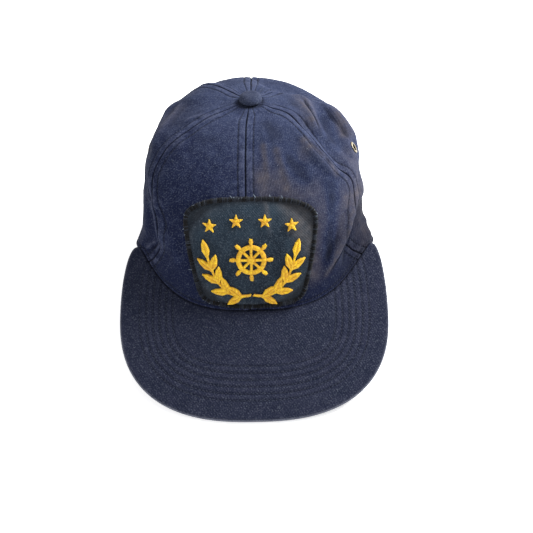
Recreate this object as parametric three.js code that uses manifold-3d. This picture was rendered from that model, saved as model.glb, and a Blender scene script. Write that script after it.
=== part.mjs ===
// A six-panel cotton cap with a stiff visor, a badge sewn to its front, two metal eyelets and a covered button.
// Millimetres, +Z up. The visor points to -Y and the wearer's left is +X. The cap stands on a table, on the
// front edge of its visor and on the back of its rim, and the table is z = 0.
// An azimuth turns round the crown from 0 at the front through 90 at +X to 180 at the back, in degrees.
// A rise runs up the crown from 0 at the rim to 1 at the small hole under the button.
import * as THREE from "three";
import { mergeVertices } from "three/addons/utils/BufferGeometryUtils.js";
import Module from "manifold-3d";

const wasm = await Module();
wasm.setup();

// Crown
const CROWN_HALF_WIDTH = 85;
const CROWN_FRONT_REACH = 92;
const CROWN_BACK_REACH = 98;
const CROWN_RISE = 103; // from the front rim up to the seat of the button
const BUTTON_SET_BACK = 26; // how far the button sits behind the middle of the rim
const CROWN_HOLE_RADIUS = 4.5;
const RIM_LANDING = 165; // how far behind the front rim the rim reaches the table
const FRONT_SQUARENESS = 2.7;
const BACK_SQUARENESS = 2.1;
const HEM_FLARE_LEFT = 8; // how far the visor's left tip spreads the rim
const HEM_FLARE_RIGHT = 5.5;
const HEM_FLARE_AZIMUTH = 66;
const HEM_FLARE_SPREAD = 12; // degrees
const HEM_FLARE_RISE = 0.15; // the rise at which the cloth above has lost the flare
const CLOTH_THICKNESS = 1.6;
const SEAM_GAP = 0.4;

// Visor
const VISOR_LENGTH = 76.6; // along its slope, from the crown to the front edge
const VISOR_SIDE_REACH = 12; // how far each side stands out past the crown's half width
const VISOR_WIDEST_BACK = 4; // how far its widest line lies behind the front rim, along the slope
const VISOR_TIP_BACK = 53.5; // how far its tips lie behind the front rim, along the slope
const VISOR_TIP_WIDTH = 1.5;
const VISOR_SLOPE = 30.5;
const VISOR_ARCH = 6; // how much its sides hang below its middle line
const VISOR_ROUNDNESS = 2.5;
const VISOR_TOP_THICKNESS = 2;
const VISOR_UNDER_THICKNESS = 1.2;
const VISOR_EDGE_ROUND = 0.9;
const COVER_GAP = 0.3;
const CROWN_TO_VISOR_GAP = 0.45;

// Button and eyelets
const BUTTON_RADIUS = 9;
const BUTTON_HEIGHT = 5;
const BUTTON_SHANK_RADIUS = 2.4;
const BUTTON_WASHER_RADIUS = 7;
const BUTTON_WASHER_THICKNESS = 0.8;
const EYELET_RADIUS = 4.6;
const EYELET_HOLE_RADIUS = 2.1;
const EYELET_BARREL_WALL = 0.6;
const EYELET_FLANGE_HEIGHT = 1;
const EYELET_WASHER_THICKNESS = 0.5;
const FITTING_GAP = 0.35; // between cloth and a button, an eyelet or its barrel

// Badge
const BADGE_HEIGHT = 80.5;
const BADGE_TOP_HALF_WIDTH = 47;
const BADGE_BOTTOM_HALF_WIDTH = 36.5;
const BADGE_BASE = 6.5; // from the rim up to the badge's lower edge, along the cloth
const BADGE_ASIDE = -1; // how far its middle line lies to the wearer's left of the front's
const BADGE_SHOULDER_DROP = 15;
const BADGE_SHOULDER_SQUARENESS = 3.6;
const BADGE_CORNER_LIFT = 3.5;
const BADGE_THICKNESS = 1;
const BADGE_GAP = 0.36;
const BORDER_WIDTH = 3.2;
const BORDER_THICKNESS = 2.2;
const EMBROIDERY_THICKNESS = 0.8;
const STAR_RADIUS = 4.8;
const WHEEL_HEIGHT = 37; // its hub above the badge's lower edge
const WHEEL_RADIUS = 9;
const WHEEL_RIM_WIDTH = 3;
const WHEEL_HUB_RADIUS = 2.8;
const WHEEL_SPOKE_WIDTH = 1.6;
const WHEEL_HANDLE_LENGTH = 4.2;
const WHEEL_SPOKES = 8;
const SPRAY_REACH = 31;
const SPRAY_FOOT_HEIGHT = 11;
const SPRAY_RISE = 30;
const SPRAY_STEM_WIDTH = 1.3;
const LEAF_LENGTH = 11.5;
const LEAF_WIDTH = 5.2;
const LEAF_PAIRS = 5;
const LEAF_SPREAD = 0.62; // radians between a leaf and its stem

// Mesh steps
const PANEL_COLUMNS = 11;
const PANEL_ROWS = 21;
const VISOR_COLUMNS = 30;
const VISOR_ROWS = 3;
const BADGE_OUTLINE_STEPS = 46;
const BADGE_RINGS = 3;
const ROUND_STEPS = 16;

// The crown's level sections, from the rim to the hole under the button. Height is a share of the way from the
// rim up to the button, and side, front and back are shares of the reach that is left outside the hole.
const SECTIONS = [
  { rise: 0.0, height: 0.0, side: 1.0, front: 1.0, back: 1.0 },
  { rise: 0.2, height: 0.22, side: 0.985, front: 0.985, back: 1.02 },
  { rise: 0.4, height: 0.46, side: 0.955, front: 0.93, back: 1.0 },
  { rise: 0.6, height: 0.7, side: 0.9, front: 0.79, back: 0.9 },
  { rise: 0.75, height: 0.86, side: 0.735, front: 0.59, back: 0.755 },
  { rise: 0.88, height: 0.965, side: 0.41, front: 0.31, back: 0.435 },
  { rise: 1.0, height: 1.0, side: 0.0, front: 0.0, back: 0.0 },
];

// Azimuths of the six seams at each rise. The seams wander, because the washed cloth is slack.
const SEAMS = [
  { rise: 0.0, rearRight: -106, frontRight: -55, centre: -1.5, frontLeft: 57, rearLeft: 106 },
  { rise: 0.15, rearRight: -104, frontRight: -49, centre: -2, frontLeft: 51, rearLeft: 104 },
  { rise: 0.28, rearRight: -103, frontRight: -45, centre: -2.3, frontLeft: 47, rearLeft: 102 },
  { rise: 0.4, rearRight: -104, frontRight: -46, centre: -2.5, frontLeft: 52, rearLeft: 101 },
  { rise: 0.5, rearRight: -107, frontRight: -52, centre: -2.6, frontLeft: 55, rearLeft: 101 },
  { rise: 0.6, rearRight: -112, frontRight: -55, centre: -2.8, frontLeft: 52, rearLeft: 104 },
  { rise: 0.68, rearRight: -118, frontRight: -55.5, centre: -3, frontLeft: 46.5, rearLeft: 108 },
  { rise: 0.77, rearRight: -128, frontRight: -55.5, centre: -3.5, frontLeft: 44, rearLeft: 116 },
  { rise: 0.84, rearRight: -134, frontRight: -55.5, centre: -4.2, frontLeft: 48, rearLeft: 126 },
  { rise: 0.92, rearRight: -138, frontRight: -58, centre: -6, frontLeft: 60, rearLeft: 136 },
  { rise: 1.0, rearRight: -141, frontRight: -66, centre: -8, frontLeft: 64, rearLeft: 140 },
];

// Ridges and hollows of the slack cloth. Each follows a curve that starts at the first azimuth and rise, bends
// towards the second and ends at the third. Width and height are shares of the crown's half width, and a
// negative height is a hollow.
const FOLDS = [
  { name: "left front edge ridge", path: [48, 0.9, 34, 0.77, 50, 0.6], width: 0.055, height: 0.032 },
  { name: "left seam hollow", path: [62, 0.93, 40, 0.78, 56, 0.56], width: 0.045, height: -0.042 },
  { name: "left crown ridge", path: [128, 0.88, 92, 0.87, 57, 0.8], width: 0.04, height: 0.03 },
  { name: "left side hollow", path: [104, 0.83, 60, 0.81, 60, 0.58], width: 0.08, height: -0.055 },
  { name: "left side crest", path: [120, 0.78, 82, 0.78, 74, 0.5], width: 0.065, height: 0.05 },
  { name: "left temple ridge", path: [80, 0.44, 50, 0.41, 30, 0.15], width: 0.05, height: 0.04 },
  { name: "left temple hollow", path: [66, 0.34, 53, 0.29, 41, 0.1], width: 0.06, height: -0.06 },
  { name: "left rim tuck", path: [72, 0.2, 66, 0.12, 62, 0.03], width: 0.04, height: 0.035 },
  { name: "right temple ridge", path: [-55, 0.47, -47, 0.42, -42, 0.26], width: 0.045, height: 0.035 },
  { name: "right temple hollow", path: [-60, 0.42, -53, 0.33, -48, 0.14], width: 0.06, height: -0.045 },
  { name: "right front ridge", path: [-42, 0.41, -36, 0.37, -32, 0.18], width: 0.05, height: 0.025 },
  { name: "right shoulder ridge", path: [-126, 0.76, -92, 0.74, -58, 0.66], width: 0.06, height: 0.04 },
  { name: "right shoulder hollow", path: [-118, 0.7, -90, 0.69, -66, 0.6], width: 0.05, height: -0.022 },
  { name: "right crown swell", path: [-152, 0.85, -128, 0.84, -95, 0.84], width: 0.17, height: 0.04 },
  { name: "rear left dent", path: [178, 0.92, 146, 0.84, 114, 0.9], width: 0.16, height: -0.085 },
  { name: "rear slump", path: [-150, 0.35, 180, 0.3, 150, 0.35], width: 0.16, height: -0.05 },
  { name: "rear left ridge", path: [120, 0.62, 128, 0.45, 122, 0.2], width: 0.08, height: 0.04 },
  { name: "rear right ridge", path: [-128, 0.6, -136, 0.42, -126, 0.18], width: 0.08, height: 0.04 },
];
const FOLD_STEPS = 14;
const FOLD_TAPER = 0.3; // share of a fold's length over which each end dies away
const RIM_CALM = 0.06; // rise over which the folds die away above the rim
const HOLE_CALM = 0.05; // rise over which they die away below the hole

const EYELETS = [
  { name: "eyelet_left", azimuth: 73, rise: 0.625, panel: "panel_side_left" },
  { name: "eyelet_right", azimuth: -98, rise: 0.55, panel: "panel_side_right" },
];

const radians = THREE.MathUtils.degToRad;
const lerp = THREE.MathUtils.lerp;
const clamp = THREE.MathUtils.clamp;
const vec = (x, y, z) => new THREE.Vector3(x, y, z);

// A share that eases from 0 to 1 as x goes from low to high.
function ease(x, low, high) {
  const t = clamp((x - low) / (high - low), 0, 1);
  return t * t * (3 - 2 * t);
}

// The value of one column of a table at a rise, on a smooth curve through the rows.
function tableValue(table, column, rise) {
  const last = table.length - 1;
  const i = clamp(table.findLastIndex((row) => row.rise <= rise), 0, last - 1);
  const step = (k) => table[k + 1].rise - table[k].rise;
  const slope = (k) => (table[k + 1][column] - table[k][column]) / step(k);
  const tangent = (k) =>
    k === 0
      ? slope(0)
      : k === last
        ? slope(last - 1)
        : (slope(k - 1) * step(k) + slope(k) * step(k - 1)) / (step(k) + step(k - 1));
  const h = step(i);
  const t = (rise - table[i].rise) / h;
  return (
    table[i][column] * (1 + 2 * t) * (1 - t) ** 2 +
    tangent(i) * h * t * (1 - t) ** 2 +
    table[i + 1][column] * t * t * (3 - 2 * t) +
    tangent(i + 1) * h * t * t * (t - 1)
  );
}

// Visor surface, in its own sloped plane: across is the x position, along runs forwards from the front rim, and
// level is the height above the middle of its thickness.
const visorSlope = radians(VISOR_SLOPE);
const visorHalfWidth = CROWN_HALF_WIDTH + VISOR_SIDE_REACH;
const visorTopLevel = VISOR_TOP_THICKNESS + COVER_GAP / 2;
const visorBottomLevel = -VISOR_UNDER_THICKNESS - COVER_GAP / 2;

function visorArchAt(across) {
  return -VISOR_ARCH * (across / visorHalfWidth) ** 2;
}

// How far along its slope the visor's outer edge lies at a share of its half width, in front of its widest line.
function visorFrontAt(share) {
  const front = VISOR_LENGTH + VISOR_WIDEST_BACK;
  return front * (1 - Math.abs(share) ** VISOR_ROUNDNESS) ** (1 / VISOR_ROUNDNESS) - VISOR_WIDEST_BACK;
}

function visorDrop(share) {
  const level = visorBottomLevel + visorArchAt(share * visorHalfWidth);
  return visorFrontAt(share) * Math.sin(visorSlope) - level * Math.cos(visorSlope);
}

// Height of the visor's middle surface at the front rim, which puts the lowest point of its edge on the table.
const EDGE_SAMPLES = 60;
const visorRootHeight = Math.max(
  ...Array.from({ length: EDGE_SAMPLES }, (_, i) => visorDrop(i / EDGE_SAMPLES)),
);

function visorPoint(across, along, level) {
  const up = level + visorArchAt(across);
  return vec(
    across,
    -CROWN_FRONT_REACH - along * Math.cos(visorSlope) - up * Math.sin(visorSlope),
    visorRootHeight - along * Math.sin(visorSlope) + up * Math.cos(visorSlope),
  );
}

// The along value at which a level of the visor stands over the plan position x, y.
function visorAlongAt(x, y, level) {
  const up = level + visorArchAt(x);
  return (-CROWN_FRONT_REACH - y - up * Math.sin(visorSlope)) / Math.cos(visorSlope);
}

// Rim of the crown, in plan: squarer in front than behind, and spread by the tips of the visor. The flare that
// they give it is lost as the cloth rises.
function rimPlan(azimuth, offset = 0, rise = 0) {
  const a = radians(azimuth);
  const inFront = Math.cos(a) > 0;
  const power = inFront ? FRONT_SQUARENESS : BACK_SQUARENESS;
  const reach = inFront ? CROWN_FRONT_REACH : CROWN_BACK_REACH;
  const across = Math.abs(Math.sin(a)) / (CROWN_HALF_WIDTH + offset);
  const along = Math.abs(Math.cos(a)) / (reach + offset);
  const radius = (across ** power + along ** power) ** (-1 / power);
  const aside = THREE.MathUtils.euclideanModulo(azimuth + 180, 360) - 180;
  const spread = (Math.abs(aside) - HEM_FLARE_AZIMUTH) / HEM_FLARE_SPREAD;
  const full = aside > 0 ? HEM_FLARE_LEFT : HEM_FLARE_RIGHT;
  const flare = full * Math.exp(-(spread ** 2)) * (1 - ease(rise, 0, HEM_FLARE_RISE));
  return { x: radius * Math.sin(a) + Math.sign(aside) * flare, y: -radius * Math.cos(a) };
}

const tipBehindRim = VISOR_TIP_BACK * Math.cos(visorSlope);

// Height of the crown's lower edge: the visor's underside in front, then a slack fall to the table behind it.
function rimHeight(x, y) {
  const behind = y + CROWN_FRONT_REACH;
  const onVisor = Math.min(behind, tipBehindRim);
  const along = visorAlongAt(x, onVisor - CROWN_FRONT_REACH, visorBottomLevel);
  const height = visorPoint(x, along, visorBottomLevel).z;
  return height * (1 - ease(behind, tipBehindRim, RIM_LANDING));
}

// The crown's outer surface without its folds.
function smoothCrown(azimuth, rise) {
  const rim = rimPlan(azimuth, 0, rise);
  const height = tableValue(SECTIONS, "height", rise);
  const side = tableValue(SECTIONS, "side", rise);
  const ends = tableValue(SECTIONS, rim.y < 0 ? "front" : "back", rise);
  const hole = CROWN_HOLE_RADIUS / Math.hypot(rim.x, rim.y);
  return vec(
    rim.x * lerp(hole, 1, side),
    rim.y * lerp(hole, 1, ends) + BUTTON_SET_BACK * height,
    lerp(rimHeight(rim.x, rim.y), visorRootHeight + CROWN_RISE, height),
  );
}

// The outward normal of a surface given as point(azimuth, rise).
const NORMAL_STEP = { azimuth: 0.5, rise: 0.004 };
function normalOf(point, azimuth, rise) {
  const below = Math.max(rise - NORMAL_STEP.rise, 0);
  const above = Math.min(rise + NORMAL_STEP.rise, 1);
  const round = point(azimuth + NORMAL_STEP.azimuth, rise).sub(point(azimuth - NORMAL_STEP.azimuth, rise));
  const up = point(azimuth, above).sub(point(azimuth, below));
  return round.cross(up).normalize();
}

// A fold's curve on the smooth crown.
function foldLine({ path: [fromAzimuth, fromRise, viaAzimuth, viaRise, toAzimuth, toRise] }) {
  // A fold may cross the back, where the azimuth jumps from 180 to -180.
  const near = (azimuth, other) => azimuth + 360 * Math.round((other - azimuth) / 360);
  const via = near(viaAzimuth, fromAzimuth);
  const to = near(toAzimuth, via);
  const bend = (a, b, c, t) => a * (1 - t) ** 2 + 2 * b * t * (1 - t) + c * t * t;
  return Array.from({ length: FOLD_STEPS + 1 }, (_, i) => {
    const t = i / FOLD_STEPS;
    return smoothCrown(bend(fromAzimuth, via, to, t), bend(fromRise, viaRise, toRise, t));
  });
}

const foldLines = FOLDS.map((fold) => ({ ...fold, line: foldLine(fold) }));

// How far one fold lifts the cloth at a point of the smooth crown.
function foldLift({ line, width, height }, point) {
  let nearest = Infinity;
  let share = 0;
  const closest = vec();
  for (let i = 0; i < FOLD_STEPS; i++) {
    const piece = new THREE.Line3(line[i], line[i + 1]);
    const t = piece.closestPointToPointParameter(point, true);
    const distance = piece.at(t, closest).distanceTo(point);
    if (distance < nearest) {
      nearest = distance;
      share = (i + t) / FOLD_STEPS;
    }
  }
  const taper = ease(Math.min(share, 1 - share), 0, FOLD_TAPER);
  const spread = (nearest / (width * CROWN_HALF_WIDTH)) ** 2;
  return height * CROWN_HALF_WIDTH * taper * Math.exp(-spread / 2);
}

function foldedCrown(azimuth, rise) {
  const point = smoothCrown(azimuth, rise);
  const calm = ease(rise, 0, RIM_CALM) * ease(1 - rise, 0, HOLE_CALM);
  const lift = foldLines.reduce((sum, fold) => sum + foldLift(fold, point), 0) * calm;
  return point.addScaledVector(normalOf(smoothCrown, azimuth, rise), lift);
}

// Places where a hard fitting presses the cloth flat: a centre, an outward axis and the radius that is flat.
function buttonSeat() {
  const SEAT_RISE = 0.93;
  const across = smoothCrown(90, SEAT_RISE).sub(smoothCrown(-90, SEAT_RISE));
  const back = smoothCrown(180, SEAT_RISE).sub(smoothCrown(0, SEAT_RISE));
  return {
    centre: vec(0, BUTTON_SET_BACK, visorRootHeight + CROWN_RISE),
    axis: across.cross(back).normalize(),
    radius: BUTTON_RADIUS + 1,
  };
}

function eyeletSeat({ azimuth, rise }) {
  return {
    centre: foldedCrown(azimuth, rise),
    axis: normalOf(smoothCrown, azimuth, rise),
    radius: EYELET_RADIUS + 2,
  };
}

const buttonPlace = buttonSeat();
const eyeletPlaces = EYELETS.map((eyelet) => ({ ...eyelet, ...eyeletSeat(eyelet) }));
const SEAT_FADE = 7; // width of the ring in which the cloth leaves the flat of a seat

function pressFlat(point, { centre, axis, radius }) {
  const away = point.clone().sub(centre);
  const share = 1 - ease(away.length(), radius, radius + SEAT_FADE);
  return point.addScaledVector(axis, -away.dot(axis) * share);
}

// The crown's outer surface as it is sewn, and the same surface lifted off along its normal.
function crownPoint(azimuth, rise) {
  const point = foldedCrown(azimuth, rise);
  for (const place of [buttonPlace, ...eyeletPlaces]) pressFlat(point, place);
  return point;
}

function liftedCrown(azimuth, rise, lift) {
  const outer = crownPoint(azimuth, rise);
  return outer.addScaledVector(normalOf(crownPoint, azimuth, rise), lift);
}

// The inner face of the cloth. Its lower edge lies level with the outer one, so that the rim stands flat.
function innerCrown(azimuth, rise) {
  const inner = liftedCrown(azimuth, rise, -CLOTH_THICKNESS);
  return rise > 0 ? inner : inner.setZ(crownPoint(azimuth, 0).z);
}

// A mesh from corner points and triangles of corner numbers, with the triangles that have no area left out.
function meshGeometry(points, triangles) {
  const positions = new Float32Array(points.flatMap((p) => [p.x, p.y, p.z]));
  const loose = new THREE.BufferGeometry()
    .setAttribute("position", new THREE.BufferAttribute(positions, 3))
    .setIndex(triangles.flat());
  const merged = mergeVertices(loose, 1e-3);
  const index = Array.from(merged.index.array);
  const kept = [];
  for (let i = 0; i < index.length; i += 3) {
    const [a, b, c] = index.slice(i, i + 3);
    if (a !== b && b !== c && c !== a) kept.push(a, b, c);
  }
  merged.setIndex(kept);
  return merged;
}

const quad = (a, b, c, d) => [
  [a, b, c],
  [a, c, d],
];

// A closed wall between two grids of points, face(u, v) and back(u, v), with u and v from 0 to 1.
function wall(columns, rows, face, back) {
  const points = [];
  for (const side of [face, back])
    for (let j = 0; j <= rows; j++)
      for (let i = 0; i <= columns; i++) points.push(side(i / columns, j / rows));
  const near = (i, j) => j * (columns + 1) + i;
  const far = (i, j) => near(i, j) + points.length / 2;
  const triangles = [];
  for (let j = 0; j < rows; j++)
    for (let i = 0; i < columns; i++) {
      triangles.push(...quad(near(i, j), near(i + 1, j), near(i + 1, j + 1), near(i, j + 1)));
      triangles.push(...quad(far(i, j), far(i, j + 1), far(i + 1, j + 1), far(i + 1, j)));
    }
  for (let i = 0; i < columns; i++) {
    triangles.push(...quad(far(i, 0), far(i + 1, 0), near(i + 1, 0), near(i, 0)));
    triangles.push(...quad(near(i, rows), near(i + 1, rows), far(i + 1, rows), far(i, rows)));
  }
  for (let j = 0; j < rows; j++) {
    triangles.push(...quad(far(0, j), near(0, j), near(0, j + 1), far(0, j + 1)));
    triangles.push(...quad(far(columns, j), far(columns, j + 1), near(columns, j + 1), near(columns, j)));
  }
  return meshGeometry(points, triangles);
}

// Solids for cutting and joining.
function solidOf(geometry) {
  const bare = geometry.index ? geometry.toNonIndexed() : geometry.clone();
  for (const name of ["normal", "uv"]) bare.deleteAttribute(name);
  const merged = mergeVertices(bare, 1e-4);
  const vertProperties = merged.attributes.position.array;
  const triVerts = new Uint32Array(merged.index.array);
  return new wasm.Manifold(new wasm.Mesh({ numProp: 3, vertProperties, triVerts }));
}

function geometryOf(solid) {
  const { vertProperties, triVerts } = solid.getMesh();
  return new THREE.BufferGeometry()
    .setAttribute("position", new THREE.BufferAttribute(new Float32Array(vertProperties), 3))
    .setIndex(new THREE.BufferAttribute(new Uint32Array(triVerts), 1));
}

// A turned solid whose axis is +Z of its own frame, from [radius, height] pairs.
function turned(profile) {
  return new THREE.LatheGeometry(
    profile.map(([radius, height]) => new THREE.Vector2(radius, height)),
    ROUND_STEPS,
  ).rotateX(Math.PI / 2);
}

function standOn(object, { centre, axis }) {
  object.position.copy(centre);
  object.quaternion.setFromUnitVectors(vec(0, 0, 1), axis);
  return object;
}

const cotton = new THREE.MeshStandardMaterial({ color: 0x2d344c, roughness: 0.95, metalness: 0 });
const visorCotton = new THREE.MeshStandardMaterial({ color: 0x303548, roughness: 0.95, metalness: 0 });
const badgeTwill = new THREE.MeshStandardMaterial({ color: 0x35434f, roughness: 0.9, metalness: 0 });
const borderThread = new THREE.MeshStandardMaterial({ color: 0x15171f, roughness: 0.8, metalness: 0 });
const yellowThread = new THREE.MeshStandardMaterial({ color: 0xf0c81c, roughness: 0.5, metalness: 0 });
const eyeletMetal = new THREE.MeshStandardMaterial({ color: 0xd9d4bd, roughness: 0.25, metalness: 1 });

const cap = new THREE.Group();

function addPiece(name, geometry, material) {
  const mesh = new THREE.Mesh(geometry, material);
  mesh.name = name;
  cap.add(mesh);
  return mesh;
}

// Crown panels: each runs from one seam to the next, half a seam gap clear of it.
function seamAzimuth(seam, rise) {
  if (seam === "back") return 180;
  return tableValue(SEAMS, seam, rise);
}

// The azimuth that takes up half a seam gap, measured square to the seam.
function halfGapAzimuth(seam, rise) {
  const onSeam = (at) => smoothCrown(seamAzimuth(seam, at), at);
  const azimuth = seamAzimuth(seam, rise);
  const up = onSeam(Math.min(rise + NORMAL_STEP.rise, 1)).sub(onSeam(Math.max(rise - NORMAL_STEP.rise, 0)));
  const round = smoothCrown(azimuth + 0.5, rise).sub(smoothCrown(azimuth - 0.5, rise));
  return SEAM_GAP / 2 / round.length() / Math.sin(round.angleTo(up));
}

function panelGeometry(fromSeam, toSeam, holes) {
  const azimuthAt = (u, rise) => {
    let from = seamAzimuth(fromSeam, rise);
    let to = seamAzimuth(toSeam, rise);
    if (from > to) from -= 360;
    from += halfGapAzimuth(fromSeam, rise);
    to -= halfGapAzimuth(toSeam, rise);
    return lerp(from, to, u);
  };
  const cloth = wall(
    PANEL_COLUMNS,
    PANEL_ROWS,
    (u, v) => crownPoint(azimuthAt(u, v), v),
    (u, v) => innerCrown(azimuthAt(u, v), v),
  );
  return holes.length ? geometryOf(pierced(solidOf(cloth), holes)) : cloth;
}

const eyeletBarrelRadius = EYELET_HOLE_RADIUS + EYELET_BARREL_WALL;

function pierced(cloth, holes) {
  const radius = eyeletBarrelRadius + FITTING_GAP;
  const reach = 4 * CLOTH_THICKNESS;
  const drill = turned([
    [0, -reach],
    [radius, -reach],
    [radius, reach],
    [0, reach],
  ]);
  return holes.reduce((left, hole) => {
    const placed = standOn(new THREE.Object3D(), hole);
    placed.updateMatrix();
    return left.subtract(solidOf(drill.clone().applyMatrix4(placed.matrix)));
  }, cloth);
}

const PANELS = [
  { name: "panel_front_right", from: "frontRight", to: "centre" },
  { name: "panel_front_left", from: "centre", to: "frontLeft" },
  { name: "panel_side_left", from: "frontLeft", to: "rearLeft" },
  { name: "panel_rear_left", from: "rearLeft", to: "back" },
  { name: "panel_rear_right", from: "back", to: "rearRight" },
  { name: "panel_side_right", from: "rearRight", to: "frontRight" },
];

for (const { name, from, to } of PANELS) {
  const holes = eyeletPlaces.filter((place) => place.panel === name);
  addPiece(name, panelGeometry(from, to, holes), cotton);
}

// Visor: a top cover over its stiff board and a thin under cover, both sewn round the crown's front.
const tipAzimuth = tipAzimuthOf(tipBehindRim - CROWN_FRONT_REACH);

function tipAzimuthOf(y) {
  let low = 0;
  let high = 90;
  for (let i = 0; i < 40; i++) {
    const middle = (low + high) / 2;
    if (rimPlan(middle, CROWN_TO_VISOR_GAP).y < y) low = middle;
    else high = middle;
  }
  return low;
}

// The outer edge, from the right tip at u = 0 through the front to the left tip at u = 1, as across and along.
function visorEdge(u) {
  const side = Math.sign(u - 0.5);
  const tip = rimPlan(side * tipAzimuth, CROWN_TO_VISOR_GAP);
  const tipAcross = Math.abs(tip.x) + VISOR_TIP_WIDTH;
  const t = Math.abs(2 * u - 1);
  const FRONT_SHARE = 0.72; // share of the steps that runs along the front of the widest line
  if (t <= FRONT_SHARE) {
    const share = Math.sin((t / FRONT_SHARE) * (Math.PI / 2));
    return { across: side * share * visorHalfWidth, along: visorFrontAt(share) };
  }
  const turn = ((t - FRONT_SHARE) / (1 - FRONT_SHARE)) * (Math.PI / 2);
  return {
    across: side * lerp(tipAcross, visorHalfWidth, Math.cos(turn)),
    along: -lerp(VISOR_WIDEST_BACK, VISOR_TIP_BACK, Math.sin(turn)),
  };
}

// A point of the visor: u from tip to tip, v from the outer edge to the crown, at a level of its thickness.
function visorSurface(u, v, level) {
  const edge = visorEdge(u);
  const rim = rimPlan(lerp(-tipAzimuth, tipAzimuth, u), CROWN_TO_VISOR_GAP);
  const root = visorAlongAt(rim.x, rim.y, level);
  return visorPoint(lerp(edge.across, rim.x, v), lerp(edge.along, root, v), level);
}

function visorCover(bottom, top) {
  const rowAt = (v) => (v === 0 ? 0 : lerp(0.04, 1, v ** 1.2));
  const middle = (bottom + top) / 2;
  const nose = (v, level) => (v === 0 ? lerp(level, middle, VISOR_EDGE_ROUND / (top - bottom) / 1.5) : level);
  return wall(
    VISOR_COLUMNS,
    VISOR_ROWS,
    (u, v) => visorSurface(u, rowAt(v), nose(v, top)),
    (u, v) => visorSurface(u, rowAt(v), nose(v, bottom)),
  );
}

addPiece("visor_top", visorCover(COVER_GAP / 2, visorTopLevel), visorCotton);
addPiece("visor_under", visorCover(visorBottomLevel, -COVER_GAP / 2), visorCotton);

// Button: a domed cap on a shank that goes through the crown's hole to a washer inside.
const washerTop = -CLOTH_THICKNESS - FITTING_GAP;
const buttonProfile = [
  [0, washerTop - BUTTON_WASHER_THICKNESS],
  [BUTTON_WASHER_RADIUS, washerTop - BUTTON_WASHER_THICKNESS],
  [BUTTON_WASHER_RADIUS, washerTop],
  [BUTTON_SHANK_RADIUS, washerTop],
  [BUTTON_SHANK_RADIUS, FITTING_GAP],
  [BUTTON_RADIUS * 0.93, FITTING_GAP],
  [BUTTON_RADIUS, FITTING_GAP + BUTTON_HEIGHT * 0.2],
  [BUTTON_RADIUS * 0.97, FITTING_GAP + BUTTON_HEIGHT * 0.45],
  [BUTTON_RADIUS * 0.82, FITTING_GAP + BUTTON_HEIGHT * 0.72],
  [BUTTON_RADIUS * 0.5, FITTING_GAP + BUTTON_HEIGHT * 0.93],
  [0, FITTING_GAP + BUTTON_HEIGHT],
];
standOn(addPiece("top_button", turned(buttonProfile), cotton), buttonPlace);

// Eyelets: a rolled flange outside, a barrel through the cloth and a washer inside.
const flangeRoot = eyeletBarrelRadius + 0.4;
const eyeletWasherTop = -CLOTH_THICKNESS - FITTING_GAP;
const eyeletProfile = [
  [EYELET_HOLE_RADIUS, eyeletWasherTop - EYELET_WASHER_THICKNESS],
  [EYELET_RADIUS * 0.9, eyeletWasherTop - EYELET_WASHER_THICKNESS],
  [EYELET_RADIUS * 0.9, eyeletWasherTop],
  [eyeletBarrelRadius, eyeletWasherTop],
  [eyeletBarrelRadius, FITTING_GAP],
  [EYELET_RADIUS, FITTING_GAP],
  [EYELET_RADIUS * 0.96, FITTING_GAP + EYELET_FLANGE_HEIGHT * 0.6],
  [(EYELET_RADIUS + flangeRoot) / 2, FITTING_GAP + EYELET_FLANGE_HEIGHT],
  [EYELET_HOLE_RADIUS * 1.12, FITTING_GAP + EYELET_FLANGE_HEIGHT * 0.7],
  [EYELET_HOLE_RADIUS, FITTING_GAP],
  [EYELET_HOLE_RADIUS, eyeletWasherTop - EYELET_WASHER_THICKNESS],
];
for (const place of eyeletPlaces) standOn(addPiece(place.name, turned(eyeletProfile), eyeletMetal), place);

// Badge: flat positions are x across and v up from the badge's lower edge, wrapped on to the crown's front.
const MERIDIAN_STEPS = 200;
const meridian = [{ rise: 0, length: 0 }];
for (let i = 1; i <= MERIDIAN_STEPS; i++) {
  const rise = i / MERIDIAN_STEPS;
  const step = crownPoint(0, rise).distanceTo(crownPoint(0, meridian[i - 1].rise));
  meridian.push({ rise, length: meridian[i - 1].length + step });
}

function riseAt(length) {
  const i = clamp(meridian.findLastIndex((mark) => mark.length <= length), 0, MERIDIAN_STEPS - 1);
  const share = (length - meridian[i].length) / (meridian[i + 1].length - meridian[i].length);
  return lerp(meridian[i].rise, meridian[i + 1].rise, share);
}

function azimuthAcross(x, rise) {
  let low = -80;
  let high = 80;
  for (let i = 0; i < 30; i++) {
    const middle = (low + high) / 2;
    if (smoothCrown(middle, rise).x < x) low = middle;
    else high = middle;
  }
  return low;
}

function onBadge(x, v, lift) {
  const rise = riseAt(BADGE_BASE + v);
  return liftedCrown(azimuthAcross(x + BADGE_ASIDE, rise), rise, lift);
}

// The badge's outline, narrow below and domed above. Across and up run over a square from -1, 0 to 1, 1.
function badgeSquare(across, up) {
  const half = lerp(BADGE_BOTTOM_HALF_WIDTH, BADGE_TOP_HALF_WIDTH, 1 - (1 - up) ** 1.7);
  const low = BADGE_CORNER_LIFT * across ** 2;
  const high = BADGE_HEIGHT - BADGE_SHOULDER_DROP * Math.abs(across) ** BADGE_SHOULDER_SQUARENESS;
  return new THREE.Vector2(across * half, lerp(low, high, up));
}

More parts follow.
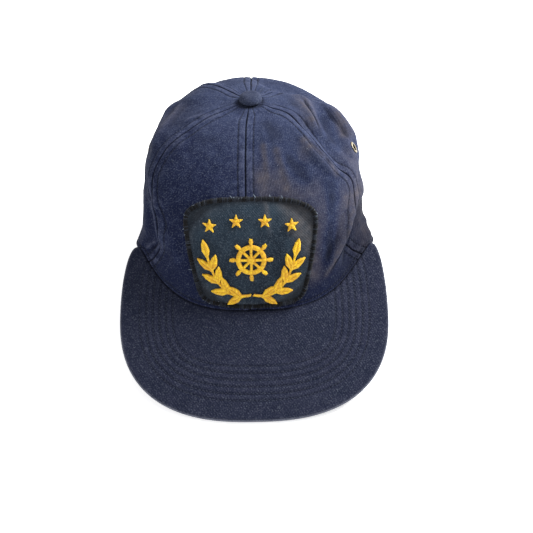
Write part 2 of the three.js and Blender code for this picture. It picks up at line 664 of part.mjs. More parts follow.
function badgeOutline() {
  const FINE = 60;
  const corners = [
    [-1, 0],
    [1, 0],
    [1, 1],
    [-1, 1],
  ];
  const sharp = corners.flatMap(([across, up], k) => {
    const [nextAcross, nextUp] = corners[(k + 1) % corners.length];
    return Array.from({ length: FINE }, (_, i) =>
      badgeSquare(lerp(across, nextAcross, i / FINE), lerp(up, nextUp, i / FINE)),
    );
  });
  const even = evenlySpaced(sharp, BADGE_OUTLINE_STEPS);
  return even.map((point, i) => {
    const before = even.at(i - 1);
    const after = even[(i + 1) % even.length];
    return before.clone().add(after).multiplyScalar(0.25).addScaledVector(point, 0.5);
  });
}

// A closed line of points, spaced evenly along it.
function evenlySpaced(points, count) {
  const closed = [...points, points[0]];
  const lengths = [0];
  for (let i = 1; i < closed.length; i++) lengths.push(lengths[i - 1] + closed[i].distanceTo(closed[i - 1]));
  return Array.from({ length: count }, (_, k) => {
    const target = (lengths.at(-1) * k) / count;
    const i = Math.min(lengths.findLastIndex((length) => length <= target), closed.length - 2);
    const share = (target - lengths[i]) / (lengths[i + 1] - lengths[i]);
    return closed[i].clone().lerp(closed[i + 1], share);
  });
}

const outline = badgeOutline();

// The outline moved inwards.
function insetOutline(inset) {
  return outline.map((point, i) => {
    const along = outline[(i + 1) % outline.length].clone().sub(outline.at(i - 1)).normalize();
    return new THREE.Vector2(point.x - along.y * inset, point.y + along.x * inset);
  });
}

// A disc of cloth inside an outline, as rings of points round its middle, wrapped at two lifts.
function wrappedDisc(edge, rings, lowLift, highLift) {
  const middle = new THREE.Vector2(0, BADGE_HEIGHT / 2);
  const points = [];
  for (const lift of [highLift, lowLift]) {
    points.push(onBadge(middle.x, middle.y, lift));
    for (let ring = 1; ring <= rings; ring++)
      for (const corner of edge) {
        const flat = middle.clone().lerp(corner, ring / rings);
        points.push(onBadge(flat.x, flat.y, lift));
      }
  }
  const count = edge.length;
  const half = points.length / 2;
  const at = (ring, i) => 1 + (ring - 1) * count + (i % count);
  const triangles = [];
  const both = (a, b, c) => triangles.push([a, b, c], [a + half, c + half, b + half]);
  for (let i = 0; i < count; i++) {
    both(0, at(1, i), at(1, i + 1));
    for (let ring = 1; ring < rings; ring++) {
      both(at(ring, i), at(ring + 1, i), at(ring + 1, i + 1));
      both(at(ring, i), at(ring + 1, i + 1), at(ring, i + 1));
    }
    const near = at(rings, i);
    const next = at(rings, i + 1);
    triangles.push(...quad(near, near + half, next + half, next));
  }
  return meshGeometry(points, triangles);
}

const badgeFaceLift = BADGE_GAP + BADGE_THICKNESS;
const badgeField = wrappedDisc(insetOutline(BORDER_WIDTH + BADGE_GAP), BADGE_RINGS, BADGE_GAP, badgeFaceLift);
addPiece("badge_field", badgeField, badgeTwill);

// The overlocked border: a half-round cord of thread sewn over the badge's edge.
function borderGeometry() {
  const top = BADGE_GAP + BORDER_THICKNESS;
  const section = [
    [0, BADGE_GAP],
    [0, lerp(BADGE_GAP, top, 0.55)],
    [0.25, top],
    [0.75, top],
    [1, lerp(BADGE_GAP, top, 0.55)],
    [1, BADGE_GAP],
  ];
  const rails = section.map(([share, lift]) =>
    insetOutline(share * BORDER_WIDTH).map((flat) => onBadge(flat.x, flat.y, lift)),
  );
  const points = rails.flat();
  const count = outline.length;
  const triangles = [];
  for (let k = 0; k < rails.length; k++)
    for (let i = 0; i < count; i++) {
      const next = (i + 1) % count;
      const rail = k * count;
      const other = ((k + 1) % rails.length) * count;
      triangles.push(...quad(rail + i, rail + next, other + next, other + i));
    }
  return meshGeometry(points, triangles);
}

addPiece("badge_border", borderGeometry(), borderThread);

// Embroidery: flat shapes raised a thread's thickness off the badge. A shape is a list of [x, v] corners.
const raisedFrom = badgeFaceLift + BADGE_GAP;

function flatPrism(corners, holes = []) {
  const shape = new THREE.Shape(corners.map(([x, v]) => new THREE.Vector2(x, v)));
  for (const hole of holes) shape.holes.push(new THREE.Path(hole.map(([x, v]) => new THREE.Vector2(x, v))));
  return solidOf(new THREE.ExtrudeGeometry(shape, { depth: 1, bevelEnabled: false }));
}

function embroidered(solid) {
  const geometry = geometryOf(solid);
  const corners = geometry.attributes.position;
  for (let i = 0; i < corners.count; i++) {
    const lift = raisedFrom + corners.getZ(i) * EMBROIDERY_THICKNESS;
    const point = onBadge(corners.getX(i), corners.getY(i), lift);
    corners.setXYZ(i, point.x, point.y, point.z);
  }
  return geometry;
}

function circle(x, v, radius, steps) {
  return Array.from({ length: steps }, (_, i) => {
    const a = (2 * Math.PI * i) / steps;
    return [x + radius * Math.cos(a), v + radius * Math.sin(a)];
  });
}

// Stars in a row over the wheel. Across and up are shares of the badge's top half width and height.
const STARS = [
  { name: "badge_star_1", across: -0.6, up: 0.74 },
  { name: "badge_star_2", across: -0.21, up: 0.79 },
  { name: "badge_star_3", across: 0.21, up: 0.79 },
  { name: "badge_star_4", across: 0.6, up: 0.74 },
];

function starShape(x, v) {
  const POINTS = 5;
  const INNER_SHARE = 0.42;
  return Array.from({ length: 2 * POINTS }, (_, i) => {
    const a = Math.PI / 2 + (Math.PI * i) / POINTS;
    const radius = i % 2 ? STAR_RADIUS * INNER_SHARE : STAR_RADIUS;
    return [x + radius * Math.cos(a), v + radius * Math.sin(a)];
  });
}

for (const { name, across, up } of STARS) {
  const shape = starShape(across * BADGE_TOP_HALF_WIDTH, up * BADGE_HEIGHT);
  addPiece(name, embroidered(flatPrism(shape)), yellowThread);
}

// A ship's wheel: a rim, a hub and spokes that run on into handles.
function wheelSolid() {
  const rimSteps = 3 * WHEEL_SPOKES;
  const outer = circle(0, WHEEL_HEIGHT, WHEEL_RADIUS + WHEEL_RIM_WIDTH / 2, rimSteps);
  const inner = circle(0, WHEEL_HEIGHT, WHEEL_RADIUS - WHEEL_RIM_WIDTH / 2, rimSteps);
  const rim = flatPrism(outer, [inner]);
  const hub = flatPrism(circle(0, WHEEL_HEIGHT, WHEEL_HUB_RADIUS, 2 * WHEEL_SPOKES));
  const tip = WHEEL_RADIUS + WHEEL_RIM_WIDTH / 2 + WHEEL_HANDLE_LENGTH;
  const half = WHEEL_SPOKE_WIDTH / 2;
  const spokeSide = [
    [0, half],
    [WHEEL_RADIUS + WHEEL_RIM_WIDTH / 2 + 0.6, half],
    [tip - WHEEL_HANDLE_LENGTH / 2, half * 1.7],
    [tip, half * 1.1],
  ];
  const spoke = [...spokeSide.map(([r, w]) => [r, -w]), ...spokeSide.toReversed()];
  let wheel = rim.add(hub);
  for (let i = 0; i < WHEEL_SPOKES; i++) {
    const a = (2 * Math.PI * i) / WHEEL_SPOKES;
    const turn = ([r, w]) => [
      r * Math.cos(a) - w * Math.sin(a),
      WHEEL_HEIGHT + r * Math.sin(a) + w * Math.cos(a),
    ];
    wheel = wheel.add(flatPrism(spoke.map(turn)));
  }
  return wheel;
}

addPiece("badge_wheel", embroidered(wheelSolid()), yellowThread);

// A leafy spray that lies below the wheel and curls up at its end. Side is 1 or -1.
function spraySolid(side) {
  const foot = new THREE.Vector2(side, SPRAY_FOOT_HEIGHT);
  const bend = new THREE.Vector2(side * SPRAY_REACH * 0.75, SPRAY_FOOT_HEIGHT - SPRAY_RISE * 0.2);
  const tip = new THREE.Vector2(side * SPRAY_REACH, SPRAY_FOOT_HEIGHT + SPRAY_RISE);
  const stem = new THREE.QuadraticBezierCurve(foot, bend, tip);
  const rails = [-0.5, 0.5].map((share) =>
    stem.getSpacedPoints(LEAF_PAIRS).map((point, i) => {
      const along = stem.getTangentAt(i / LEAF_PAIRS);
      const out = share * SPRAY_STEM_WIDTH;
      return [point.x - along.y * out, point.y + along.x * out];
    }),
  );
  const rim = [...rails[0], ...rails[1].reverse()];
  let spray = flatPrism(side > 0 ? rim : rim.reverse());
  for (let i = 1; i <= LEAF_PAIRS; i++) {
    const share = (i - 0.3) / LEAF_PAIRS;
    const root = stem.getPointAt(share);
    const along = stem.getTangentAt(share);
    const heading = Math.atan2(along.y, along.x);
    const spreads = i === LEAF_PAIRS ? [0] : [-LEAF_SPREAD, LEAF_SPREAD];
    for (const spread of spreads) spray = spray.add(flatPrism(leafShape(root, heading + spread)));
  }
  return spray;
}

function leafShape(root, heading) {
  const half = LEAF_WIDTH / 2;
  const upper = [
    [LEAF_LENGTH * 0.35, half],
    [LEAF_LENGTH * 0.75, half * 0.7],
  ];
  const lower = upper.map(([along, out]) => [along, -out]);
  const corners = [[-half / 2, 0], ...lower, [LEAF_LENGTH, 0], ...upper.reverse()];
  return corners.map(([along, out]) => [
    root.x + along * Math.cos(heading) - out * Math.sin(heading),
    root.y + along * Math.sin(heading) + out * Math.cos(heading),
  ]);
}

addPiece("badge_spray_left", embroidered(spraySolid(1)), yellowThread);
addPiece("badge_spray_right", embroidered(spraySolid(-1)), yellowThread);

// The frame's origin is on the table, under the middle of the cap.
const extent = new THREE.Box3().setFromObject(cap, true);
const middle = extent.getCenter(vec());
cap.position.set(-middle.x, -middle.y, -extent.min.z);

export default cap;
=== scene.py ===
"""Looks of a six-panel washed cotton cap with a sewn badge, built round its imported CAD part.

Sizes are millimetres in the CAD source's own frame: +Z up, the visor towards -Y, the wearer's left at +X.
An azimuth turns round the crown from 0 at the front through 90 at +X, in degrees, and a rise runs up it
from 0 at the rim to 1 at the hole under the button. Meshes are made in metres, in the frame of the row.
"""

import itertools
import logging
import math
from collections.abc import Callable, Sequence
from dataclasses import dataclass, field
from enum import Enum

import bmesh
import bpy
import numpy as np
from mathutils import Matrix, Vector


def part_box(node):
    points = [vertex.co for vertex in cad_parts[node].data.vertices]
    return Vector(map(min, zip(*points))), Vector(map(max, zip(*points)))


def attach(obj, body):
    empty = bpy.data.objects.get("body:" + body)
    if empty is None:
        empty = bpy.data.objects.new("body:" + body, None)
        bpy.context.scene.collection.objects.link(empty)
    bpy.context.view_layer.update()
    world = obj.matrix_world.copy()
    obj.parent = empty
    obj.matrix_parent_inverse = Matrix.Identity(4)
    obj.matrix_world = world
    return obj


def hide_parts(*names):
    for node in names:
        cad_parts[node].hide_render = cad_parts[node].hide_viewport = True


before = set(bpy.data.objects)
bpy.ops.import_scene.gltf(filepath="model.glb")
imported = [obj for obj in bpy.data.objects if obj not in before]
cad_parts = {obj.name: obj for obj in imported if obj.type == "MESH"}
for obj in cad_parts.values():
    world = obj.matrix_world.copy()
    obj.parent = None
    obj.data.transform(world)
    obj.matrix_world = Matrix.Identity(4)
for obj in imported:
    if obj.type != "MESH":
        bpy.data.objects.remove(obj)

log = logging.getLogger("cap")
Array = np.ndarray
Surface = Callable[[Array, Array], Array]

MM = 0.001
CLOTH_MAP = "cloth"
FRONT_REACH = 92.0
BADGE_HEIGHT = 80.5
BADGE_HALF_WIDTH = 47.0
BADGE_BASE = 6.5
BADGE_ASIDE = -1.0
LINE_SAMPLES = 201
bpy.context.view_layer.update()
# The CAD source centres the cap on its box, so its front rim says how far the frame was moved.
FRAME_SHIFT = np.array([0.0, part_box("panel_front_left")[0].y / MM + FRONT_REACH, 0.0])


def ease(x: Array, low: float, high: float) -> Array:
    """A share that eases from 0 to 1 as x goes from low to high."""
    t = np.clip((x - low) / (high - low), 0.0, 1.0)
    return t * t * (3 - 2 * t)


def bell(x: Array, centre: float, width: float) -> Array:
    """A smooth bump of height 1."""
    return np.exp(-(((x - centre) / width) ** 2))


def unit(vectors: Array) -> Array:
    """The vectors, each at length 1."""
    return vectors / np.maximum(np.linalg.norm(vectors, axis=-1, keepdims=True), 1e-12)


def in_frame(points: Array) -> Array:
    """Model points in millimetres as row points in metres."""
    return (np.asarray(points, float) + FRAME_SHIFT) * MM


def running_length(points: Array) -> Array:
    """Length along the last-but-one axis of an array of points, from 0 at its first point."""
    steps = np.linalg.norm(np.diff(points, axis=-2), axis=-1)
    return np.concatenate([np.zeros_like(steps[..., :1]), np.cumsum(steps, axis=-1)], axis=-1)


def softened(values: Array, times: int) -> Array:
    """A grid of values with its small detail blurred away."""
    for _ in range(times):
        padded = np.pad(values, 1, mode="edge")
        values = (padded[:-2, 1:-1] + padded[2:, 1:-1] + padded[1:-1, :-2] + padded[1:-1, 2:]) / 4
    return values


def grid_normals(points: Array) -> Array:
    """Normals of a grid of points whose columns run round and whose rows run up."""
    return unit(np.cross(np.gradient(points, axis=1), np.gradient(points, axis=0)))


class LatticeNoise:
    """Smooth random values in space, the same on every run."""

    CELLS = 32

    def __init__(self, seed: int) -> None:
        """Fills the lattice.

        Args:
            seed: Which of the fixed patterns to use.
        """
        self.values = np.random.default_rng(seed).uniform(-1, 1, (self.CELLS,) * 3)

    def at(self, points: Array, size: float | Sequence[float]) -> Array:
        """Reads the noise.

        Args:
            points: Where to read it, with three coordinates in the last axis.
            size: How far apart the lattice's points lie, or that for each coordinate.

        Returns:
            A value from -1 to 1 for each point.
        """
        scaled = points / np.asarray(size, float)
        cell = np.floor(scaled).astype(int)
        share = ease(scaled - cell, 0.0, 1.0)
        total = np.zeros(points.shape[:-1])
        for corner in itertools.product((0, 1), repeat=3):
            weight = np.prod(np.where(corner, share, 1 - share), axis=-1)
            total += weight * self.values[tuple(np.moveaxis((cell + corner) % self.CELLS, -1, 0))]
        return total


@dataclass(frozen=True)
class RiseTable:
    """Columns of values given at rising heights, read on a smooth curve through the rows."""

    columns: tuple[str, ...]
    rows: tuple[tuple[float, ...], ...]

    def at(self, column: str, rise: Array) -> Array:
        """Reads one column.

        Args:
            column: The column's name.
            rise: The rises at which to read it.

        Returns:
            A value for each rise.
        """
        table = np.array(self.rows)
        knots, values = table[:, 0], table[:, 1 + self.columns.index(column)]
        steps = np.diff(knots)
        slopes = np.diff(values) / steps
        inner = (slopes[:-1] * steps[1:] + slopes[1:] * steps[:-1]) / (steps[:-1] + steps[1:])
        tangents = np.concatenate([slopes[:1], inner, slopes[-1:]])
        i = np.clip(np.searchsorted(knots, rise, side="right") - 1, 0, len(steps) - 1)
        h = steps[i]
        t = (rise - knots[i]) / h
        start = values[i] * (1 + 2 * t) * (1 - t) ** 2 + tangents[i] * h * t * (1 - t) ** 2
        return start + values[i + 1] * t * t * (3 - 2 * t) + tangents[i + 1] * h * t * t * (t - 1)


class Seam(Enum):
    """Seams of the crown, by the names of their columns in SEAMS."""

    REAR_RIGHT = "rear_right"
    FRONT_RIGHT = "front_right"
    CENTRE = "centre"
    FRONT_LEFT = "front_left"
    REAR_LEFT = "rear_left"
    BACK = "back"


class Panel(Enum):
    """Panels of the crown, each with the seam that it runs from and the seam that it runs to."""

    FRONT_RIGHT = (Seam.FRONT_RIGHT, Seam.CENTRE)
    FRONT_LEFT = (Seam.CENTRE, Seam.FRONT_LEFT)
    SIDE_LEFT = (Seam.FRONT_LEFT, Seam.REAR_LEFT)
    REAR_LEFT = (Seam.REAR_LEFT, Seam.BACK)
    REAR_RIGHT = (Seam.BACK, Seam.REAR_RIGHT)
    SIDE_RIGHT = (Seam.REAR_RIGHT, Seam.FRONT_RIGHT)


# The crown's level sections, as in the CAD source: shares of the height, and of the reach outside the hole.
SECTIONS = RiseTable(
    ("height", "side", "front", "back"),
    (
        (0.0, 0.0, 1.0, 1.0, 1.0),
        (0.2, 0.22, 0.985, 0.985, 1.02),
        (0.4, 0.46, 0.955, 0.93, 1.0),
        (0.6, 0.7, 0.9, 0.79, 0.9),
        (0.75, 0.86, 0.735, 0.59, 0.755),
        (0.88, 0.965, 0.41, 0.31, 0.435),
        (1.0, 1.0, 0.0, 0.0, 0.0),
    ),
)

# Azimuths of the seams at each rise, as in the CAD source.
SEAMS = RiseTable(
    ("rear_right", "front_right", "centre", "front_left", "rear_left"),
    (
        (0.0, -106, -55, -1.5, 57, 106),
        (0.15, -104, -49, -2, 51, 104),
        (0.28, -103, -45, -2.3, 47, 102),
        (0.4, -104, -46, -2.5, 52, 101),
        (0.5, -107, -52, -2.6, 55, 101),
        (0.6, -112, -55, -2.8, 52, 104),
        (0.68, -118, -55.5, -3, 46.5, 108),
        (0.77, -128, -55.5, -3.5, 44, 116),
        (0.84, -134, -55.5, -4.2, 48, 126),
        (0.92, -138, -58, -6, 60, 136),
        (1.0, -141, -66, -8, 64, 140),
    ),
)


@dataclass(frozen=True)
class Fold:
    """A ridge or hollow of slack cloth.

    It starts at the first azimuth and rise of its path, bends towards the second and ends at the third.
    Width and height are millimetres, and a hollow's height is negative. On the right of its path, seen from
    outside, the cloth falls off over a share of the width, into a valley that is as narrow.
    """

    path: tuple[float, float, float, float, float, float]
    width: float
    height: float
    steep: float = 1.0
    valley: float = 0.0


def broad(path: tuple[float, ...], width: float, height: float) -> Fold:
    """A fold of the CAD source, where width and height are shares of the crown's half width."""
    return Fold(path, width * CrownForm.half_width, height * CrownForm.half_width)


@dataclass(frozen=True)
class VisorForm:
    """Surface of the visor in its own sloped plane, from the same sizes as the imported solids."""

    length: float = 76.6
    side_reach: float = 12.0
    widest_back: float = 4.0
    tip_back: float = 53.5
    tip_width: float = 1.5
    slope: float = math.radians(30.5)
    arch: float = 6.0
    roundness: float = 2.5
    top_level: float = 2.15
    bottom_level: float = -1.35
    crown_half_width: float = 85.0
    front_share: float = 0.72
    edge_samples: int = 60

    @property
    def half_width(self) -> float:
        """Half of the visor's greatest width."""
        return self.crown_half_width + self.side_reach

    @property
    def tip_behind_rim(self) -> float:
        """How far the tips lie behind the front rim, in plan."""
        return self.tip_back * math.cos(self.slope)

    @property
    def root_height(self) -> float:
        """Height of the visor's middle surface at the front rim."""
        share = np.arange(self.edge_samples) / self.edge_samples
        level = self.bottom_level + self.arch_at(share * self.half_width)
        return float(np.max(self.front_at(share) * math.sin(self.slope) - level * math.cos(self.slope)))

    def arch_at(self, across: Array) -> Array:
        """How far the visor hangs below its middle line."""
        return -self.arch * (across / self.half_width) ** 2

    def front_at(self, share: Array) -> Array:
        """How far along the slope the outer edge lies at a share of the half width."""
        front = self.length + self.widest_back
        power = self.roundness
        return front * (1 - np.abs(share) ** power) ** (1 / power) - self.widest_back

    def point(self, across: Array, along: Array, level: Array) -> Array:
        """A point of the visor, from its place in the sloped plane and its level in the thickness."""
        up = level + self.arch_at(across)
        sine, cosine = math.sin(self.slope), math.cos(self.slope)
        y = -FRONT_REACH - along * cosine - up * sine
        z = self.root_height - along * sine + up * cosine
        return np.stack(np.broadcast_arrays(across, y, z), -1)

    def along_at(self, x: Array, y: Array, level: Array) -> Array:
        """The along value at which a level of the visor stands over a plan position."""
        up = level + self.arch_at(x)
        return (-FRONT_REACH - y - up * math.sin(self.slope)) / math.cos(self.slope)

    def edge(self, u: Array, tip_across: tuple[float, float]) -> tuple[Array, Array]:
        """The outer edge, from the right tip at u = 0 through the front to the left tip at u = 1.

        Args:
            u: Shares of the way round.
            tip_across: How far the right and the left tip stand from the middle.

        Returns:
            The across and along values of each point.
        """
        side = np.sign(u - 0.5)
        t = np.abs(2 * u - 1)
        share = np.sin(np.clip(t / self.front_share, 0, 1) * math.pi / 2)
        turn = np.clip((t - self.front_share) / (1 - self.front_share), 0, 1) * math.pi / 2
        behind = t > self.front_share
        tip = np.where(side > 0, tip_across[1], tip_across[0])
        rear_across = tip + (self.half_width - tip) * np.cos(turn)
        rear_along = -(self.widest_back + (self.tip_back - self.widest_back) * np.sin(turn))
        across = side * np.where(behind, rear_across, share * self.half_width)
        return across, np.where(behind, rear_along, self.front_at(share))


@dataclass(frozen=True)
class Seat:
    """A place where a hard fitting presses the cloth flat."""

    centre: Array
    axis: Array
    radius: float


@dataclass(frozen=True)
class CrownForm:
    """Surface of the crown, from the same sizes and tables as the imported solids."""

    visor: VisorForm = VisorForm()
    half_width: float = 85.0
    back_reach: float = 98.0
    height: float = 103.0
    button_set_back: float = 26.0
    hole_radius: float = 4.5
    rim_landing: float = 165.0
    front_squareness: float = 2.7
    back_squareness: float = 2.1
    flare_left: float = 8.0
    flare_right: float = 5.5
    flare_azimuth: float = 66.0
    flare_spread: float = 12.0
    flare_rise: float = 0.15
    fold_steps: int = 14
    fold_taper: float = 0.3
    rim_calm: float = 0.06
    hole_calm: float = 0.05
    middle: tuple[float, float, float] = (0.0, 10.0, 60.0)
    seat_rise: float = 0.93
    seat_fade: float = 7.0
    button_flat: float = 10.0
    eyelet_flat: float = 6.6
    eyelet_left: tuple[float, float] = (73.0, 0.625)
    eyelet_right: tuple[float, float] = (-98.0, 0.55)

    def rim_plan(self, azimuth: Array, offset: float = 0.0, rise: Array = 0.0) -> tuple[Array, Array]:
        """The rim in plan, as x and y, spread by the tips of the visor and moved outwards by an offset."""
        sine, cosine = np.sin(np.radians(azimuth)), np.cos(np.radians(azimuth))
        in_front = cosine > 0
        power = np.where(in_front, self.front_squareness, self.back_squareness)
        reach = np.where(in_front, FRONT_REACH, self.back_reach) + offset
        across = (np.abs(sine) / (self.half_width + offset)) ** power
        radius = (across + (np.abs(cosine) / reach) ** power) ** (-1 / power)
        aside = np.mod(azimuth + 180, 360) - 180
        spread = bell(np.abs(aside), self.flare_azimuth, self.flare_spread)
        full = np.where(aside > 0, self.flare_left, self.flare_right)
        flare = full * spread * (1 - ease(rise, 0, self.flare_rise))
        return radius * sine + np.sign(aside) * flare, -radius * cosine

    def rim_height(self, x: Array, y: Array) -> Array:
        """Height of the crown's lower edge over a plan position."""
        behind = y + FRONT_REACH
        on_visor = np.minimum(behind, self.visor.tip_behind_rim)
        along = self.visor.along_at(x, on_visor - FRONT_REACH, self.visor.bottom_level)
        height = self.visor.point(x, along, self.visor.bottom_level)[..., 2]
        return height * (1 - ease(behind, self.visor.tip_behind_rim, self.rim_landing))

    def smooth(self, azimuth: Array, rise: Array) -> Array:
        """The crown's outer surface without its folds."""
        azimuth, rise = np.broadcast_arrays(np.asarray(azimuth, float), np.asarray(rise, float))
        x, y = self.rim_plan(azimuth, 0.0, rise)
        height = SECTIONS.at("height", rise)
        ends = np.where(y < 0, SECTIONS.at("front", rise), SECTIONS.at("back", rise))
        hole = self.hole_radius / np.hypot(x, y)
        low = self.rim_height(x, y)
        top = self.visor.root_height + self.height
        return np.stack(
            [
                x * (hole + (1 - hole) * SECTIONS.at("side", rise)),
                y * (hole + (1 - hole) * ends) + self.button_set_back * height,
                low + (top - low) * height,
            ],
            -1,
        )

    @staticmethod
    def normals(surface: Surface, azimuth: Array, rise: Array) -> Array:
        """Outward normals of a surface given by azimuth and rise."""
        round_step = surface(azimuth + 0.5, rise) - surface(azimuth - 0.5, rise)
        above, below = np.minimum(rise + 0.004, 1), np.maximum(rise - 0.004, 0)
        up_step = surface(azimuth, above) - surface(azimuth, below)
        return unit(np.cross(round_step, up_step))

    def fold_line(self, fold: Fold) -> Array:
        """A fold's curve on the smooth crown."""
        start, start_rise, via, via_rise, end, end_rise = fold.path
        via += 360 * round((start - via) / 360)
        end += 360 * round((via - end) / 360)
        t = np.linspace(0, 1, self.fold_steps + 1)
        a, b, c = (1 - t) ** 2, 2 * t * (1 - t), t * t
        return self.smooth(a * start + b * via + c * end, a * start_rise + b * via_rise + c * end_rise)

    def fold_lift(self, folds: Sequence[Fold], points: Array) -> Array:
        """How far folds lift the cloth.

        Args:
            folds: The ridges and hollows.
            points: Points of the smooth crown.

        Returns:
            The lift at each point.
        """
        flat = points.reshape(-1, 3)
        total = np.zeros(len(flat))
        for fold in folds:
            line = self.fold_line(fold)
            margin = 4 * fold.width
            near = np.all((flat > line.min(0) - margin) & (flat < line.max(0) + margin), axis=1)
            chosen = flat[near]
            if not len(chosen):
                continue
            step = np.diff(line, axis=0)
            reach = chosen[:, None, :] - line[None, :-1, :]
            t = np.clip(np.sum(reach * step, -1) / np.sum(step * step, -1), 0, 1)
            distance = np.linalg.norm(reach - t[..., None] * step, axis=-1)
            nearest = np.argmin(distance, axis=1)
            rows = np.arange(len(chosen))
            share = (nearest + t[rows, nearest]) / self.fold_steps
            taper = ease(np.minimum(share, 1 - share), 0, self.fold_taper)
            across = distance[rows, nearest]
            turned = np.cross(step[nearest], reach[rows, nearest] - t[rows, nearest, None] * step[nearest])
            right = np.sum(turned * (chosen - self.middle), axis=-1) < 0
            narrow = fold.width * fold.steep
            form = np.exp(-((across / np.where(right, narrow, fold.width)) ** 2) / 2)
            form -= fold.valley * bell(np.where(right, across, -across), 2.4 * narrow, 1.2 * narrow)
            total[near] += fold.height * taper * form
        return total.reshape(points.shape[:-1])

    def calm(self, rise: Array) -> Array:
        """How much of a fold is left near the rim and near the hole."""
        return ease(rise, 0, self.rim_calm) * ease(1 - rise, 0, self.hole_calm)

    def folded(self, azimuth: Array, rise: Array) -> Array:
        """The crown's outer surface with its broad folds."""
        point = self.smooth(azimuth, rise)
        lift = self.fold_lift(BROAD_FOLDS, point) * self.calm(rise)
        return point + self.normals(self.smooth, azimuth, rise) * lift[..., None]

    def button_seat(self) -> Seat:
        """Where the covered button sits."""
        rise = np.full(4, self.seat_rise)
        left, right, back, front = self.smooth(np.array([90.0, -90.0, 180.0, 0.0]), rise)
        centre = np.array([0.0, self.button_set_back, self.visor.root_height + self.height])
        return Seat(centre, unit(np.cross(left - right, back - front)), self.button_flat)

    def eyelet_seat(self, place: tuple[float, float]) -> Seat:
        """Where an eyelet sits, from its azimuth and rise."""
        azimuth, rise = (np.array([value]) for value in place)
        axis = self.normals(self.smooth, azimuth, rise)[0]
        return Seat(self.folded(azimuth, rise)[0], axis, self.eyelet_flat)

    def seats(self) -> tuple[Seat, Seat, Seat]:
        """The seats of the button and of both eyelets."""
        return self.button_seat(), self.eyelet_seat(self.eyelet_left), self.eyelet_seat(self.eyelet_right)

    def sewn(self, azimuth: Array, rise: Array) -> Array:
        """The crown's outer surface, pressed flat under its hard fittings."""
        point = self.folded(azimuth, rise)
        for seat in SEATS:
            away = point - seat.centre
            share = 1 - ease(np.linalg.norm(away, axis=-1), seat.radius, seat.radius + self.seat_fade)
            point = point - seat.axis * ((away @ seat.axis) * share)[..., None]
        return point

    def lifted(self, azimuth: Array, rise: Array, lift: Array) -> Array:
        """The sewn surface, moved outwards by a lift."""
        return self.sewn(azimuth, rise) + self.normals(self.sewn, azimuth, rise) * np.asarray(lift)[..., None]


# Ridges and hollows of the slack cloth, as in the CAD source.
BROAD_FOLDS = (
    broad((48, 0.9, 34, 0.77, 50, 0.6), 0.055, 0.032),  # left front edge ridge
    broad((62, 0.93, 40, 0.78, 56, 0.56), 0.045, -0.042),  # left seam hollow
    broad((128, 0.88, 92, 0.87, 57, 0.8), 0.04, 0.03),  # left crown ridge
    broad((104, 0.83, 60, 0.81, 60, 0.58), 0.08, -0.055),  # left side hollow
    broad((120, 0.78, 82, 0.78, 74, 0.5), 0.065, 0.05),  # left side crest
    broad((80, 0.44, 50, 0.41, 30, 0.15), 0.05, 0.04),  # left temple ridge
    broad((66, 0.34, 53, 0.29, 41, 0.1), 0.06, -0.06),  # left temple hollow
    broad((72, 0.2, 66, 0.12, 62, 0.03), 0.04, 0.035),  # left rim tuck
    broad((-55, 0.47, -47, 0.42, -42, 0.26), 0.045, 0.035),  # right temple ridge
    broad((-60, 0.42, -53, 0.33, -48, 0.14), 0.06, -0.045),  # right temple hollow
    broad((-42, 0.41, -36, 0.37, -32, 0.18), 0.05, 0.025),  # right front ridge
    broad((-126, 0.76, -92, 0.74, -58, 0.66), 0.06, 0.04),  # right shoulder ridge
    broad((-118, 0.7, -90, 0.69, -66, 0.6), 0.05, -0.022),  # right shoulder hollow
    broad((-152, 0.85, -128, 0.84, -95, 0.84), 0.17, 0.04),  # right crown swell
    broad((178, 0.92, 146, 0.84, 114, 0.9), 0.16, -0.085),  # rear left dent
    broad((-150, 0.35, 180, 0.3, 150, 0.35), 0.16, -0.05),  # rear slump
    broad((120, 0.62, 128, 0.45, 122, 0.2), 0.08, 0.04),  # rear left ridge
    broad((-128, 0.6, -136, 0.42, -126, 0.18), 0.08, 0.04),  # rear right ridge
)

